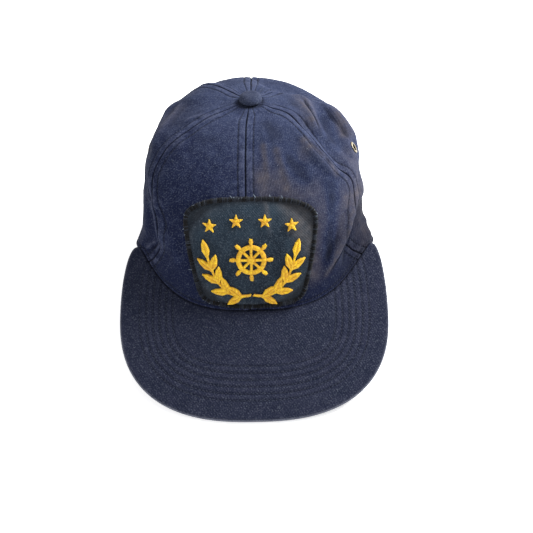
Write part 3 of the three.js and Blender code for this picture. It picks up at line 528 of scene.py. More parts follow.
# Small creases that the solids leave out. The first ones are sharp, with a worn crest beside a dark valley.
FINE_FOLDS = (
    Fold((32, 0.17, 42.5, 0.36, 59, 0.444), 3.0, 2.3, 0.35, 0.6),  # over the left temple
    Fold((46, 0.618, 36, 0.75, 38, 0.822), 2.8, 1.2, 0.45, 0.5),  # in front of the left seam
    Fold((55, 0.81, 75, 0.875, 111, 0.888), 2.6, 2.0, 0.45, 0.5),  # behind the left seam
    Fold((92, 0.83, 62, 0.8, 56, 0.7), 5.0, -1.3),
    Fold((106, 0.79, 84, 0.765, 67, 0.54), 3.2, 1.9, 0.5, 0.25),  # down to the left eyelet
    Fold((-112, 0.816, -90, 0.772, -69, 0.72), 2.6, 1.1, 0.6, 0.3),  # over the right side
    Fold((-104, 0.77, -84, 0.74, -66, 0.66), 2.0, 0.7, 0.6, 0.3),
    Fold((-67, 0.81, -76, 0.87, -60, 0.893), 1.8, 0.8, 0.5, 0.4),
    Fold((-60, 0.564, -56, 0.51, -46, 0.444), 2.0, 0.8, 0.6, 0.3),
    Fold((-58, 0.066, -54, 0.16, -50, 0.252), 2.2, 1.0, 0.5, 0.6),  # tuck at the right temple
    Fold((-30, 0.87, -38, 0.82, -42, 0.74), 4.0, -0.6),
    Fold((12, 0.93, 10, 0.8, 9, 0.66), 2.2, 0.5, 0.6),
    Fold((19, 0.9, 17, 0.78, 20, 0.62), 2.4, 0.5, 0.6),
    Fold((28, 0.86, 26, 0.74, 30, 0.58), 3.0, -0.5),
    Fold((60, 0.24, 50, 0.2, 42, 0.1), 2.0, 0.8, 0.5, 0.3),
    Fold((78, 0.56, 64, 0.5, 56, 0.36), 2.2, -0.7),
    Fold((96, 0.5, 84, 0.44, 76, 0.26), 2.6, 0.9, 0.5, 0.3),
    Fold((-78, 0.56, -64, 0.5, -58, 0.34), 2.2, -0.7),
    Fold((-96, 0.48, -84, 0.44, -74, 0.24), 2.6, 0.8, 0.5, 0.3),
    Fold((130, 0.5, 142, 0.38, 134, 0.18), 3.0, 1.0, 0.5, 0.3),
    Fold((160, 0.62, 168, 0.44, 156, 0.24), 3.4, 0.9, 0.5, 0.3),
    Fold((-132, 0.52, -146, 0.4, -140, 0.16), 3.0, 1.0, 0.5, 0.3),
    Fold((-168, 0.6, -160, 0.46, -172, 0.28), 3.4, 0.8, 0.5, 0.3),
)

CROWN = CrownForm()
SEATS = CROWN.seats()


def front_line() -> tuple[Array, Array]:
    """Rises along the middle of the crown's front, and the length of cloth up to each."""
    marks = np.linspace(0, 1, LINE_SAMPLES)
    return marks, running_length(CROWN.sewn(np.zeros(LINE_SAMPLES), marks))


def new_object(name: str, data: bpy.types.ID) -> bpy.types.Object:
    """An object of some data, in the scene."""
    made = bpy.data.objects.new(name, data)
    bpy.context.scene.collection.objects.link(made)
    return made


def evaluated_mesh(piece: bpy.types.Object) -> bpy.types.Mesh:
    """The mesh that an object's modifiers make of it."""
    graph = bpy.context.evaluated_depsgraph_get()
    return bpy.data.meshes.new_from_object(piece.evaluated_get(graph), depsgraph=graph)


@dataclass
class Skin:
    """Points of a mesh with their faces, their places on the flat cloth and their painted values."""

    points: Array
    faces: list[Sequence[int]]
    flat: Array | None = None
    values: dict[str, Array] = field(default_factory=dict)

    def build(self, name: str, *materials: bpy.types.Material) -> bpy.types.Object:
        """Makes the object.

        Args:
            name: The piece's name.
            materials: Its finishes.

        Returns:
            The object, at the origin, with its place in its mesh.
        """
        mesh = bpy.data.meshes.new(name)
        mesh.from_pydata(in_frame(self.points).tolist(), [], self.faces)
        for key, values in self.values.items():
            attribute = mesh.attributes.new(key, "FLOAT", "POINT")
            attribute.data.foreach_set("value", np.asarray(values, np.float32).ravel())
        if self.flat is not None:
            corners = np.zeros(len(mesh.loops), np.int32)
            mesh.loops.foreach_get("vertex_index", corners)
            layer = mesh.uv_layers.new(name=CLOTH_MAP)
            layer.data.foreach_set("uv", (self.flat[corners] * MM).astype(np.float32).ravel())
        mesh.shade_smooth()
        for material in materials:
            mesh.materials.append(material)
        return new_object(name, mesh)


def shell_faces(rows: int, columns: int) -> list[list[int]]:
    """Faces of a closed wall between a face grid and a back grid of the same shape.

    Args:
        rows: Points up each grid.
        columns: Points across each grid.

    Returns:
        Quads of point numbers, with the face grid's points first.
    """
    near = np.arange(rows * columns).reshape(rows, columns)
    far = near + rows * columns
    sheets = [
        (near[:-1, :-1], near[:-1, 1:], near[1:, 1:], near[1:, :-1]),
        (far[:-1, :-1], far[1:, :-1], far[1:, 1:], far[:-1, 1:]),
        (far[0, :-1], far[0, 1:], near[0, 1:], near[0, :-1]),
        (near[-1, :-1], near[-1, 1:], far[-1, 1:], far[-1, :-1]),
        (far[:-1, 0], near[:-1, 0], near[1:, 0], far[1:, 0]),
        (far[:-1, -1], far[1:, -1], near[1:, -1], near[:-1, -1]),
    ]
    return np.concatenate([np.stack([c.ravel() for c in sheet], -1) for sheet in sheets]).tolist()


def merge_doubles(piece: bpy.types.Object, distance: float = 1e-6) -> None:
    """Closes a mesh where its points coincide."""
    work = bmesh.new()
    work.from_mesh(piece.data)
    bmesh.ops.remove_doubles(work, verts=work.verts, dist=distance)
    bmesh.ops.dissolve_degenerate(work, edges=work.edges, dist=distance)
    work.to_mesh(piece.data)
    work.free()


@dataclass
class ThreadRun:
    """A line of sewing on a surface, with the surface's normals along it."""

    points: Array
    normals: Array

    def cut(self, kept: Array) -> list["ThreadRun"]:
        """The stretches of the line whose points are kept."""
        edges = np.flatnonzero(np.diff(np.concatenate([[0], kept.astype(int), [0]])))
        stretches = zip(edges[::2], edges[1::2])
        return [ThreadRun(self.points[a:b], self.normals[a:b]) for a, b in stretches if b - a > 3]


def path_object(name: str, runs: Sequence[ThreadRun], shades: Array | None = None) -> bpy.types.Object:
    """Lines of sewing as a mesh of edges, for a Geometry Nodes tree to follow.

    Args:
        name: The object's name.
        runs: The lines.
        shades: A tone for each line, or None.

    Returns:
        The object, with the normals in its attribute "up" and the tones in "shade".
    """
    mesh = bpy.data.meshes.new(name)
    points = np.concatenate([run.points for run in runs])
    lengths = [len(run.points) for run in runs]
    starts = np.concatenate([[0], np.cumsum(lengths)])
    edges = [(s + i, s + i + 1) for s, n in zip(starts, lengths) for i in range(n - 1)]
    mesh.from_pydata(in_frame(points).tolist(), edges, [])
    up = mesh.attributes.new("up", "FLOAT_VECTOR", "POINT")
    up.data.foreach_set("vector", np.concatenate([run.normals for run in runs]).astype(np.float32).ravel())
    if shades is not None:
        shade = mesh.attributes.new("shade", "FLOAT", "POINT")
        shade.data.foreach_set("value", np.repeat(shades, lengths).astype(np.float32))
    return new_object(name, mesh)


def add_node(
    tree: bpy.types.NodeTree, kind: str, inputs: dict[int | str, object] | None = None, **settings: object
) -> bpy.types.Node:
    """Adds one node.

    Args:
        tree: The tree that gets it.
        kind: The node's type.
        inputs: For each input, by name or number, the socket that feeds it or its value.
        settings: The node's own settings.

    Returns:
        The node.
    """
    node = tree.nodes.new(kind)
    for name, value in settings.items():
        setattr(node, name, value)
    for key, value in (inputs or {}).items():
        if isinstance(value, bpy.types.NodeSocket):
            tree.links.new(value, node.inputs[key])
        else:
            node.inputs[key].default_value = value
    return node


def calc(
    tree: bpy.types.NodeTree, operation: str, *terms: float | bpy.types.NodeSocket
) -> bpy.types.NodeSocket:
    """The result of a math node on its terms."""
    return add_node(tree, "ShaderNodeMath", dict(enumerate(terms)), operation=operation).outputs[0]


class SewingTree:
    """A Geometry Nodes tree with named inputs, which works on lines of sewing."""

    SOCKETS = {float: "NodeSocketFloat", int: "NodeSocketInt", str: "NodeSocketMaterial"}

    def __init__(self, name: str, sizes: dict[str, float | int | str]) -> None:
        """Starts the tree.

        Args:
            name: The tree's name.
            sizes: Its inputs, each with its default, and an empty text for a material.
        """
        self.tree = bpy.data.node_groups.new(name, "GeometryNodeTree")
        interface = self.tree.interface
        interface.new_socket("Geometry", in_out="INPUT", socket_type="NodeSocketGeometry")
        interface.new_socket("Geometry", in_out="OUTPUT", socket_type="NodeSocketGeometry")
        for key, value in sizes.items():
            socket = interface.new_socket(key, in_out="INPUT", socket_type=self.SOCKETS[type(value)])
            if not isinstance(value, str):
                socket.default_value = value
        self.source = add_node(self.tree, "NodeGroupInput").outputs
        self.line = self.add("GeometryNodeMeshToCurve", {"Mesh": self.source["Geometry"]}).outputs["Curve"]

    def add(
        self, kind: str, inputs: dict[int | str, object] | None = None, **settings: object
    ) -> bpy.types.Node:
        """Adds a node to this tree."""
        return add_node(self.tree, kind, inputs, **settings)

    def frame_rotation(self) -> bpy.types.NodeSocket:
        """A turn that puts X along the line and Z along the surface's normal."""
        up = self.add("GeometryNodeInputNamedAttribute", {"Name": "up"}, data_type="FLOAT_VECTOR")
        tangent = self.add("GeometryNodeInputTangent")
        axes = {0: tangent.outputs["Tangent"], 1: up.outputs["Attribute"]}
        turn = self.add("FunctionNodeAxesToRotation", axes, primary_axis="X", secondary_axis="Z")
        return turn.outputs["Rotation"]

    def random(self, low: float, high: float, offset: int) -> bpy.types.NodeSocket:
        """A random number for each stitch, from the tree's seed."""
        seed = calc(self.tree, "ADD", self.source["Seed"], float(offset))
        span = {2: low, 3: high, "Seed": seed}
        node = self.add("FunctionNodeRandomValue", span, data_type="FLOAT")
        return node.outputs[1]

    def scatter(self, shape: bpy.types.NodeSocket, scale: bpy.types.NodeSocket | tuple[float, ...]) -> None:
        """Sets one shape at every pitch along the lines, each turned a little, with a tone of its own."""
        resampled = {"Curve": self.line, "Length": self.source["Pitch"]}
        points = self.add("GeometryNodeResampleCurve", resampled, mode="LENGTH").outputs["Curve"]
        sway = {"Z": self.random(-0.12, 0.12, 1), "Y": self.random(-0.05, 0.05, 2)}
        sway = self.add("ShaderNodeCombineXYZ", sway)
        turned = {0: self.frame_rotation(), 1: sway.outputs[0]}
        turn = self.add("FunctionNodeRotateRotation", turned, rotation_space="LOCAL").outputs[0]
        placed = {"Points": points, "Instance": shape, "Rotation": turn, "Scale": scale}
        instances = self.add("GeometryNodeInstanceOnPoints", placed).outputs[0]
        shade = {"Geometry": instances, "Name": "shade", "Value": self.random(0.0, 1.0, 3)}
        toned = self.add("GeometryNodeStoreNamedAttribute", shade, data_type="FLOAT", domain="INSTANCE")
        self.finish(self.add("GeometryNodeRealizeInstances", {0: toned.outputs[0]}).outputs[0])

    def finish(self, geometry: bpy.types.NodeSocket) -> None:
        """Gives the result its finish and ends the tree."""
        smooth = self.add("GeometryNodeSetShadeSmooth", {"Geometry": geometry}).outputs[0]
        real = self.add("GeometryNodeRealizeInstances", {0: smooth}).outputs[0]
        done = self.add("GeometryNodeSetMaterial", {"Geometry": real, "Material": self.source["Thread"]})
        add_node(self.tree, "NodeGroupOutput", {0: done.outputs[0]})

    def grow(self, name: str, source: bpy.types.Object, sizes: dict[str, object]) -> bpy.types.Object:
        """Runs the tree and keeps its result as a plain mesh.

        Args:
            name: The piece's name.
            source: The lines of sewing, which are used up.
            sizes: Values for the tree's inputs, by name.

        Returns:
            The piece.
        """
        modifier = source.modifiers.new("sewing", "NODES")
        modifier.node_group = self.tree
        for item in self.tree.interface.items_tree:
            if item.item_type == "SOCKET" and item.in_out == "INPUT" and item.name in sizes:
                modifier[item.identifier] = sizes[item.name]
        mesh = evaluated_mesh(source)
        source.modifiers.remove(modifier)
        bpy.data.objects.remove(source)
        mesh.name = name
        return new_object(name, mesh)


def stitch_tree() -> SewingTree:
    """Lockstitches: short plump stitches, one at every pitch."""
    sizes = {"Pitch": 0.0026, "Length": 0.002, "Width": 0.0005, "Height": 0.0004, "Seed": 3, "Thread": ""}
    tree = SewingTree("lockstitch rows", sizes)
    ball = tree.add("GeometryNodeMeshUVSphere", {"Segments": 6, "Rings": 5, "Radius": 0.5}).outputs["Mesh"]
    spans = {"X": tree.source["Length"], "Y": tree.source["Width"], "Z": tree.source["Height"]}
    tree.scatter(ball, tree.add("ShaderNodeCombineXYZ", spans).outputs[0])
    return tree


def overlock_tree() -> SewingTree:
    """Overlocking: threads that wrap over an edge from side to side, close together."""
    sizes = {"Pitch": 0.0006, "Reach": 0.0017, "Rise": 0.0012, "Thickness": 0.0004, "Seed": 5, "Thread": ""}
    tree = SewingTree("overlocked edge", sizes)
    back = calc(tree.tree, "MULTIPLY", tree.source["Reach"], -1.0)
    peak = calc(tree.tree, "MULTIPLY", tree.source["Rise"], 2.0)
    ends = {
        "Resolution": 7,
        "Start": tree.add("ShaderNodeCombineXYZ", {"Y": back}).outputs[0],
        "Middle": tree.add("ShaderNodeCombineXYZ", {"Z": peak}).outputs[0],
        "End": tree.add("ShaderNodeCombineXYZ", {"Y": tree.source["Reach"]}).outputs[0],
    }
    arch = tree.add("GeometryNodeCurveQuadraticBezier", ends).outputs[0]
    radius = calc(tree.tree, "MULTIPLY", tree.source["Thickness"], 0.5)
    ring = tree.add("GeometryNodeCurvePrimitiveCircle", {"Resolution": 5, "Radius": radius}).outputs[0]
    wrap = tree.add("GeometryNodeCurveToMesh", {"Curve": arch, "Profile Curve": ring, "Fill Caps": True})
    size = tree.random(0.9, 1.14, 4)
    scale = tree.add("ShaderNodeCombineXYZ", {"X": 1.0, "Y": size, "Z": size})
    tree.scatter(wrap.outputs[0], scale.outputs[0])
    return tree


def satin_tree() -> SewingTree:
    """Satin stitch: each line becomes one strand of thread."""
    tree = SewingTree("satin strands", {"Thickness": 0.0005, "Thread": ""})
    radius = calc(tree.tree, "MULTIPLY", tree.source["Thickness"], 0.5)
    ring = tree.add("GeometryNodeCurvePrimitiveCircle", {"Resolution": 5, "Radius": radius}).outputs[0]
    strand = {"Curve": tree.line, "Profile Curve": ring, "Fill Caps": True}
    tree.finish(tree.add("GeometryNodeCurveToMesh", strand).outputs[0])
    return tree


def linear(colour: str) -> tuple[float, float, float, float]:
    """An sRGB hex colour as linear red, green, blue and alpha."""
    shares = [int(colour[i : i + 2], 16) / 255 for i in (1, 3, 5)]
    return (*(c / 12.92 if c <= 0.04045 else ((c + 0.055) / 1.055) ** 2.4 for c in shares), 1.0)


def wave_vector(pitch: float, slant: float) -> tuple[float, float, float]:
    """Phase per metre of lines that lie a pitch apart, in millimetres, and lean by a slant in degrees."""
    turn = 2 * math.pi / (pitch * MM)
    return (turn * math.sin(math.radians(slant)), -turn * math.cos(math.radians(slant)), 0.0)


def new_material(name: str) -> tuple[bpy.types.Material, bpy.types.NodeTree, bpy.types.Node]:
    """A bare material with its node tree and its surface shader."""
    material = bpy.data.materials.new(name)
    material.use_nodes = True
    tree = material.node_tree
    return material, tree, tree.nodes["Principled BSDF"]


def noise_over(
    tree: bpy.types.NodeTree, place: bpy.types.NodeSocket, scale: float, detail: float = 2.0
) -> bpy.types.NodeSocket:
    """Smooth noise over a place in space."""
    inputs = {"Vector": place, "Scale": scale, "Detail": detail}
    return add_node(tree, "ShaderNodeTexNoise", inputs).outputs[0]


def painted(tree: bpy.types.NodeTree, name: str) -> bpy.types.NodeSocket:
    """A value that is painted on the mesh."""
    return add_node(tree, "ShaderNodeAttribute", attribute_name=name).outputs["Fac"]


def summed(
    tree: bpy.types.NodeTree, start: float, shares: Sequence[tuple[bpy.types.NodeSocket, float]]
) -> bpy.types.NodeSocket:
    """A start value with a share of each source added to it."""
    total: float | bpy.types.NodeSocket = start
    for source, share in shares:
        total = calc(tree, "MULTIPLY_ADD", source, share, total)
    return total


def layered(
    tree: bpy.types.NodeTree, ground: str, layers: Sequence[tuple[bpy.types.NodeSocket, str]]
) -> bpy.types.NodeSocket:
    """A ground colour with other colours laid over it, each by its own share."""
    colour: tuple[float, ...] | bpy.types.NodeSocket = linear(ground)
    for share, layer in layers:
        mix = {0: share, 6: colour, 7: linear(layer)}
        colour = add_node(tree, "ShaderNodeMix", mix, data_type="RGBA").outputs[2]
    return colour


def emboss(
    tree: bpy.types.NodeTree,
    shader: bpy.types.Node,
    height: bpy.types.NodeSocket,
    strength: float,
    depth: float,
) -> None:
    """Gives a surface its fine relief, with a depth in millimetres."""
    bump = {"Strength": strength, "Distance": depth * MM, "Height": height}
    tree.links.new(add_node(tree, "ShaderNodeBump", bump).outputs[0], shader.inputs["Normal"])


@dataclass(frozen=True)
class WashedTwill:
    """Cotton twill, vat dyed and garment washed.

    The dye has left the raised yarns, so it looks dull and mottled, pale and brownish on every ridge. Painted
    shade darkens every crease, and the painted wear also carries painted light and shade. The wales lean to
    the right. Roughness stays high and a soft nap gives the sheen.
    """

    name: str
    ground: str = "#0f1630"
    fade_and_painted_light: str = "#333b55"
    shade_tone: str = "#050816"
    worn: str = "#49454b"
    lint: str = "#8f97a2"
    wale_pitch: float = 1.6  # the real wales lie 0.6 mm apart, too fine to show at the photograph's distance
    wale_slant: float = 55.0
    yarn_pitch: float = 0.7
    blotch_size: float = 24.0
    mottle_size: float = 5.0
    grain_size: float = 0.9
    mottling: float = 0.55
    fade_start: float = -0.85
    lint_spacing: float = 13.0
    lint_size: float = 0.42
    roughness: float = 0.95
    sheen: float = 0.05
    relief: float = 0.25

    def build(self) -> bpy.types.Material:
        """Makes the material, which reads the cloth's flat map, its painted wear with painted light, and its
        painted shade.
        """
        material, tree, shader = new_material(self.name)
        place = add_node(tree, "ShaderNodeTexCoord").outputs["Object"]
        flat = add_node(tree, "ShaderNodeUVMap", uv_map=CLOTH_MAP).outputs[0]
        drift = calc(tree, "MULTIPLY", noise_over(tree, place, 260.0, 1.0), 2.4)
        lines = []
        for pitch, slant in ((self.wale_pitch, self.wale_slant), (self.yarn_pitch, self.wale_slant + 90)):
            phase = {0: flat, 1: wave_vector(pitch, slant)}
            phase = add_node(tree, "ShaderNodeVectorMath", phase, operation="DOT_PRODUCT").outputs["Value"]
            lines.append(calc(tree, "SINE", calc(tree, "ADD", phase, drift)))
        weave = calc(tree, "MULTIPLY_ADD", lines[1], 0.35, lines[0])
        sizes = ((self.blotch_size, 3.0), (self.mottle_size, 3.0), (self.grain_size, 1.0))
        blotch, mottle, grain = (noise_over(tree, place, 1 / (size * MM), detail) for size, detail in sizes)
        wear, depth, patch = (painted(tree, key) for key in ("wear", "depth", "patch"))
        shares = ((blotch, self.mottling), (mottle, 0.8), (grain, 0.9), (weave, 0.035), (wear, 0.85))
        # The fade share takes in the painted wear, which also holds painted light and shade.
        fade = summed(tree, self.fade_start, shares)
        patch_paint = calc(tree, "MULTIPLY", patch, calc(tree, "MULTIPLY_ADD", mottle, 1.6, -0.1))
        fleck = {"Vector": place, "Scale": 1 / (self.lint_spacing * MM)}
        fleck = add_node(tree, "ShaderNodeTexVoronoi", fleck).outputs["Distance"]
        limits = {0: fleck, 1: self.lint_size / self.lint_spacing, 2: 0.0, 3: 0.0, 4: 1.0}
        fleck = add_node(tree, "ShaderNodeMapRange", limits).outputs[0]
        nap = calc(tree, "MULTIPLY_ADD", grain, 0.5, -0.26)
        # The "depth" value lays the painted shade tone into creases and grooves.
        layers = [(fade, self.fade_and_painted_light), (patch_paint, self.worn), (nap, self.lint), (depth, self.shade_tone)]
        colour = layered(tree, self.ground, [*layers, (fleck, self.lint)])
        tree.links.new(colour, shader.inputs["Base Color"])
        emboss(tree, shader, calc(tree, "MULTIPLY_ADD", weave, 0.3, grain), 0.7, self.relief)
        shader.inputs["Roughness"].default_value = self.roughness
        shader.inputs["Specular IOR Level"].default_value = 0.12
        shader.inputs["Sheen Weight"].default_value = self.sheen
        shader.inputs["Sheen Roughness"].default_value = 0.5
        shader.inputs["Sheen Tint"].default_value = linear("#a9b0c8")
        return material


@dataclass(frozen=True)
class SewingThread:
    """Spun or filament thread: a twist of plies, each strand a little lighter or darker than the next."""

    name: str
    dark: str
    light: str
    roughness: float
    sheen: float = 0.03
    specular: float = 0.25
    start: float = -0.25
    contrast: float = 0.55
    ply_pitch: float = 0.55  # real plies turn every 0.3 mm, drawn coarser so that the twist shows

    def build(self) -> bpy.types.Material:
        """Makes the material, which reads each strand's tone."""
        material, tree, shader = new_material(self.name)
        place = add_node(tree, "ShaderNodeTexCoord").outputs["Object"]
        fibre = noise_over(tree, place, 1 / (self.ply_pitch * MM))
        cloud = noise_over(tree, place, 90.0, 1.0)
        shares = ((painted(tree, "shade"), self.contrast), (fibre, 0.6), (cloud, 0.5))
        colour = layered(tree, self.dark, [(summed(tree, self.start, shares), self.light)])
        tree.links.new(colour, shader.inputs["Base Color"])
        emboss(tree, shader, fibre, 0.5, 0.1)
        shader.inputs["Roughness"].default_value = self.roughness
        shader.inputs["Specular IOR Level"].default_value = self.specular
        shader.inputs["Sheen Weight"].default_value = self.sheen
        return material


@dataclass(frozen=True)
class PlatedBrass:
    """Brass, pressed, nickel plated and rubbed: bright on its roll, warm where the plate is thin."""

    name: str = "nickel plated brass"
    plate: str = "#8f8978"
    bared: str = "#a58d55"
    barrel_shade: str = "#0e0c0a"
    roughness: float = 0.42
    rub_size: float = 2.5

    def build(self) -> bpy.types.Material:
        """Makes the material."""
        material, tree, shader = new_material(self.name)
        place = add_node(tree, "ShaderNodeTexCoord").outputs["Object"]
        rub = noise_over(tree, place, 1 / (self.rub_size * MM), 3.0)
        share = add_node(tree, "ShaderNodeMapRange", {0: rub, 1: 0.45, 2: 0.75}).outputs[0]
        # The "depth" value lays painted shade on the metal inside the eyelet barrels.
        layers = [(share, self.bared), (painted(tree, "depth"), self.barrel_shade)]
        tree.links.new(layered(tree, self.plate, layers), shader.inputs["Base Color"])
        rough = calc(tree, "MULTIPLY_ADD", rub, 0.25, self.roughness - 0.1)
        tree.links.new(rough, shader.inputs["Roughness"])
        emboss(tree, shader, rub, 0.3, 0.05)
        shader.inputs["Metallic"].default_value = 1.0
        return material


@dataclass(frozen=True)
class MattPaper:
    """Matt background paper: pale, even and without gloss."""

    name: str = "matt paper"
    tone: str = "#f7f7f7"
    shade: str = "#efefef"
    glow: float = 0.62

    def build(self) -> bpy.types.Material:
        """Makes the material."""
        material, tree, shader = new_material(self.name)
        place = add_node(tree, "ShaderNodeTexCoord").outputs["Object"]
        colour = layered(tree, self.shade, [(noise_over(tree, place, 6.0), self.tone)])
        tree.links.new(colour, shader.inputs["Base Color"])
        shader.inputs["Roughness"].default_value = 0.95
        shader.inputs["Specular IOR Level"].default_value = 0.1
        shader.inputs["Emission Color"].default_value = linear(self.tone)
        shader.inputs["Emission Strength"].default_value = self.glow
        return material


class Finishes:
    """Every finish of the cap, made once."""

    def __init__(self) -> None:
        """Makes the materials."""
        self.crown = WashedTwill("washed navy twill").build()
        self.visor = WashedTwill(
            "washed navy visor twill", ground="#161b2c", fade_and_painted_light="#2e3042", worn="#6a6d78", mottling=0.4
        ).build()
        self.button = WashedTwill("washed navy button twill", ground="#151b31", fade_and_painted_light="#31394f").build()
        self.badge = WashedTwill(
            "woven badge twill",
            ground="#121b26",
            fade_and_painted_light="#2a3743",
            shade_tone="#070b12",
            worn="#4b4a4d",
            wale_pitch=1.3,
            wale_slant=-50.0,
            roughness=0.85,
            mottling=0.5,
        ).build()
        self.seam_thread = SewingThread("navy cotton thread", "#0b0e1a", "#262d40", 0.85).build()
        self.visor_thread = SewingThread("blue grey cotton thread", "#161a28", "#353b4d", 0.8).build()
        self.border_thread = SewingThread(
            "black overlock thread", "#020307", "#353d4b", 0.8, start=-0.85, contrast=0.8
        ).build()
        self.fray_thread = SewingThread("grey cotton fibre", "#3c4552", "#8996a3", 0.9).build()
        self.gold_thread = SewingThread(
            "yellow rayon thread", "#b86e04", "#f5d216", 0.45, sheen=0.1, specular=0.5
        ).build()
        self.metal = PlatedBrass().build()


@dataclass(frozen=True)
class Patch:
    """A streak of rubbed dye, from one azimuth and rise to another, or of painted shade if it is negative."""

    path: tuple[float, float, float, float]
    radius: float
    strength: float


@dataclass
class Crown:
    """Six panels of slack cloth, sewn edge to edge with a raised seam between two rows of stitches."""

    finishes: Finishes
    thickness: float = 1.6
    seam_clearance: float = 0.0
    # Columns near a seam lie at these distances from it, so that each row of stitches follows one of them.
    near_seam: tuple[float, ...] = (0, 0.3, 0.7, 1.2, 1.9, 2.8, 3.7, 4.5, 5.0, 5.4, 5.8, 6.4, 7.3, 8.6, 10.2)
    middle_columns: int = 58
    row_step: float = 0.0078
    rim_rows: int = 20
    rim_band: float = 0.066
    topstitch: float = 5.4
    seam_depth: float = 0.95
    strip_height: float = 0.26
    hole_radius: float = 3.05
    hem_at_visor: float = 7.3
    hem_behind: float = 3.6
    stitch_pitch: float = 2.7
    # Streaks of rubbed dye; the negative ones are painted shade.
    rubbed_and_shade_streaks: tuple[Patch, ...] = (
        Patch((9, 0.82, 8, 0.71), 2.2, 0.8),
        Patch((17, 0.8, 17, 0.66), 2.8, 0.7),
        Patch((7, 0.7, 19, 0.62), 9.0, 0.6),
        Patch((5, 0.7, 6, 0.62), 4.0, 0.5),
        Patch((38, 0.81, 45, 0.64), 2.4, 0.9),
        Patch((31, 0.76, 36, 0.79), 4.5, 0.4),
        Patch((30, 0.62, 34, 0.48), 9.0, 0.45),
        Patch((44, 0.53, 54, 0.45), 9.0, 0.5),
        Patch((64, 0.6, 62, 0.3), 13.0, 0.5),
        Patch((74, 0.3, 62, 0.05), 14.0, 0.8),
        Patch((27, 0.48, 26, 0.22), 6.5, 0.9),
        Patch((47, 0.5, 37, 0.26), 3.5, 0.6),
        Patch((59, 0.444, 48, 0.385), 2.0, 0.8),
        Patch((48, 0.385, 33, 0.18), 2.0, 0.8),
        Patch((66, 0.84, 110, 0.87), 7.0, 0.6),
        Patch((74, 0.7, 100, 0.77), 2.5, 0.6),
        Patch((80, 0.7, 98, 0.68), 9.0, 0.35),
        Patch((86, 0.8, 60, 0.72), 5.0, -0.35),
        Patch((38, 0.56, 34, 0.28), 3.5, -0.6),
        Patch((52, 0.34, 44, 0.22), 4.0, -0.6),
        Patch((-100, 0.8, -80, 0.7), 7.0, 0.35),
        Patch((20, 0.9, 21, 0.85), 5.0, -0.5),
        Patch((23, 0.76, 27, 0.68), 4.5, -0.5),
        Patch((40, 0.6, 41, 0.54), 5.0, -0.5),
    )
    runs: list[ThreadRun] = field(default_factory=list)
    pieces: list[bpy.types.Object] = field(default_factory=list)

    def __post_init__(self) -> None:
        """Sets up the rows that all panels share, and the noises that crumple them."""
        low = np.linspace(0, self.rim_band, self.rim_rows)
        steps = round((1 - self.rim_band) / self.row_step)
        self.rises = np.concatenate([low, np.linspace(self.rim_band, 1, steps + 1)[1:]])
        self.noise = LatticeNoise(11)
        self.pucker_noise = LatticeNoise(23)

    @staticmethod
    def seam_azimuth(seam: Seam, rise: Array) -> Array:
        """Azimuths of a seam."""
        return np.full_like(rise, 180.0) if seam is Seam.BACK else SEAMS.at(seam.value, rise)

    def slant(self, azimuth: Array) -> Array:
        """How much longer a level line from the seam is than a line square to it, at each row."""
        seam_line = CROWN.smooth(azimuth, self.rises)
        along = unit(np.gradient(seam_line, axis=0))
        level = unit(CROWN.smooth(azimuth + 0.5, self.rises) - CROWN.smooth(azimuth - 0.5, self.rises))
        return 1 / np.maximum(np.linalg.norm(np.cross(along, level), axis=-1), 0.3)

    def layout(self, panel: Panel) -> dict[str, Array]:
        """Where a panel's columns run.

        Args:
            panel: The panel.

        Returns:
            Grids of azimuth, of nominal distance from the left and right seams, and of place across.
        """
        start = self.seam_azimuth(panel.value[0], self.rises)
        end = self.seam_azimuth(panel.value[1], self.rises)
        start = np.where(start > end, start - 360, start)
        samples = np.linspace(0, 1, 61)
        azimuth = start[:, None] + (end - start)[:, None] * samples
        length = running_length(CROWN.smooth(azimuth, self.rises[:, None]))
        width = length[:, -1:]
        near = np.array(self.near_seam)
        slants = [self.slant(edge)[:, None] for edge in (start, end)]
        shrink = np.minimum(1, 0.42 * width / (near[-1] * np.maximum(*slants)))
        left_step, right_step = (slant * shrink for slant in slants)
        left, right = near * left_step + self.seam_clearance, width - near * right_step - self.seam_clearance
        share = np.linspace(0, 1, self.middle_columns + 2)[1:-1]
        middle = left[:, -1:] + (right[:, -1:] - left[:, -1:]) * share
        across = np.concatenate([left, middle, right[:, ::-1]], axis=1)
        placed = np.stack([np.interp(a, s, z) for a, s, z in zip(across, length, azimuth)])
        return {
            "azimuth": placed,
            "from_left": (across - self.seam_clearance) / left_step,
            "from_right": (width - across - self.seam_clearance) / right_step,
            "across": across - width / 2,
        }

    def under_badge(self, points: Array, rise: Array) -> Array:
        """1 where the cloth lies under the badge, easing to 0 outside it."""
        marks, length = front_line()
        up = (np.interp(rise, marks, length) - BADGE_BASE) / BADGE_HEIGHT
        side = np.abs(points[..., 0] - BADGE_ASIDE) / BADGE_HALF_WIDTH
        inside = (1 - ease(side, 0.8, 0.97)) * ease(up, -0.03, 0.05) * (1 - ease(up, 0.86, 0.99))
        return inside * (points[..., 1] < 0)

    def hem_height(self, points: Array) -> Array:
        """How far above the rim the hem is stitched, which is higher where the visor joins the crown."""
        behind = points[..., 1] + FRONT_REACH
        tip = CROWN.visor.tip_behind_rim
        return self.hem_at_visor + (self.hem_behind - self.hem_at_visor) * ease(behind, tip - 6, tip + 14)

    def seam_relief(self, distance: Array) -> Array:
        """Height of the cloth beside a seam: a groove, a raised strip and a sunk row of stitches."""
        groove = -self.seam_depth * bell(distance, 0, 0.4)
        strip = self.strip_height * ease(distance, 0.2, 1.2) * (1 - ease(distance, 4.4, 5.4))
        return groove + strip - 0.32 * bell(distance, self.topstitch, 0.5) + 0.1 * bell(distance, 7.2, 1.4)

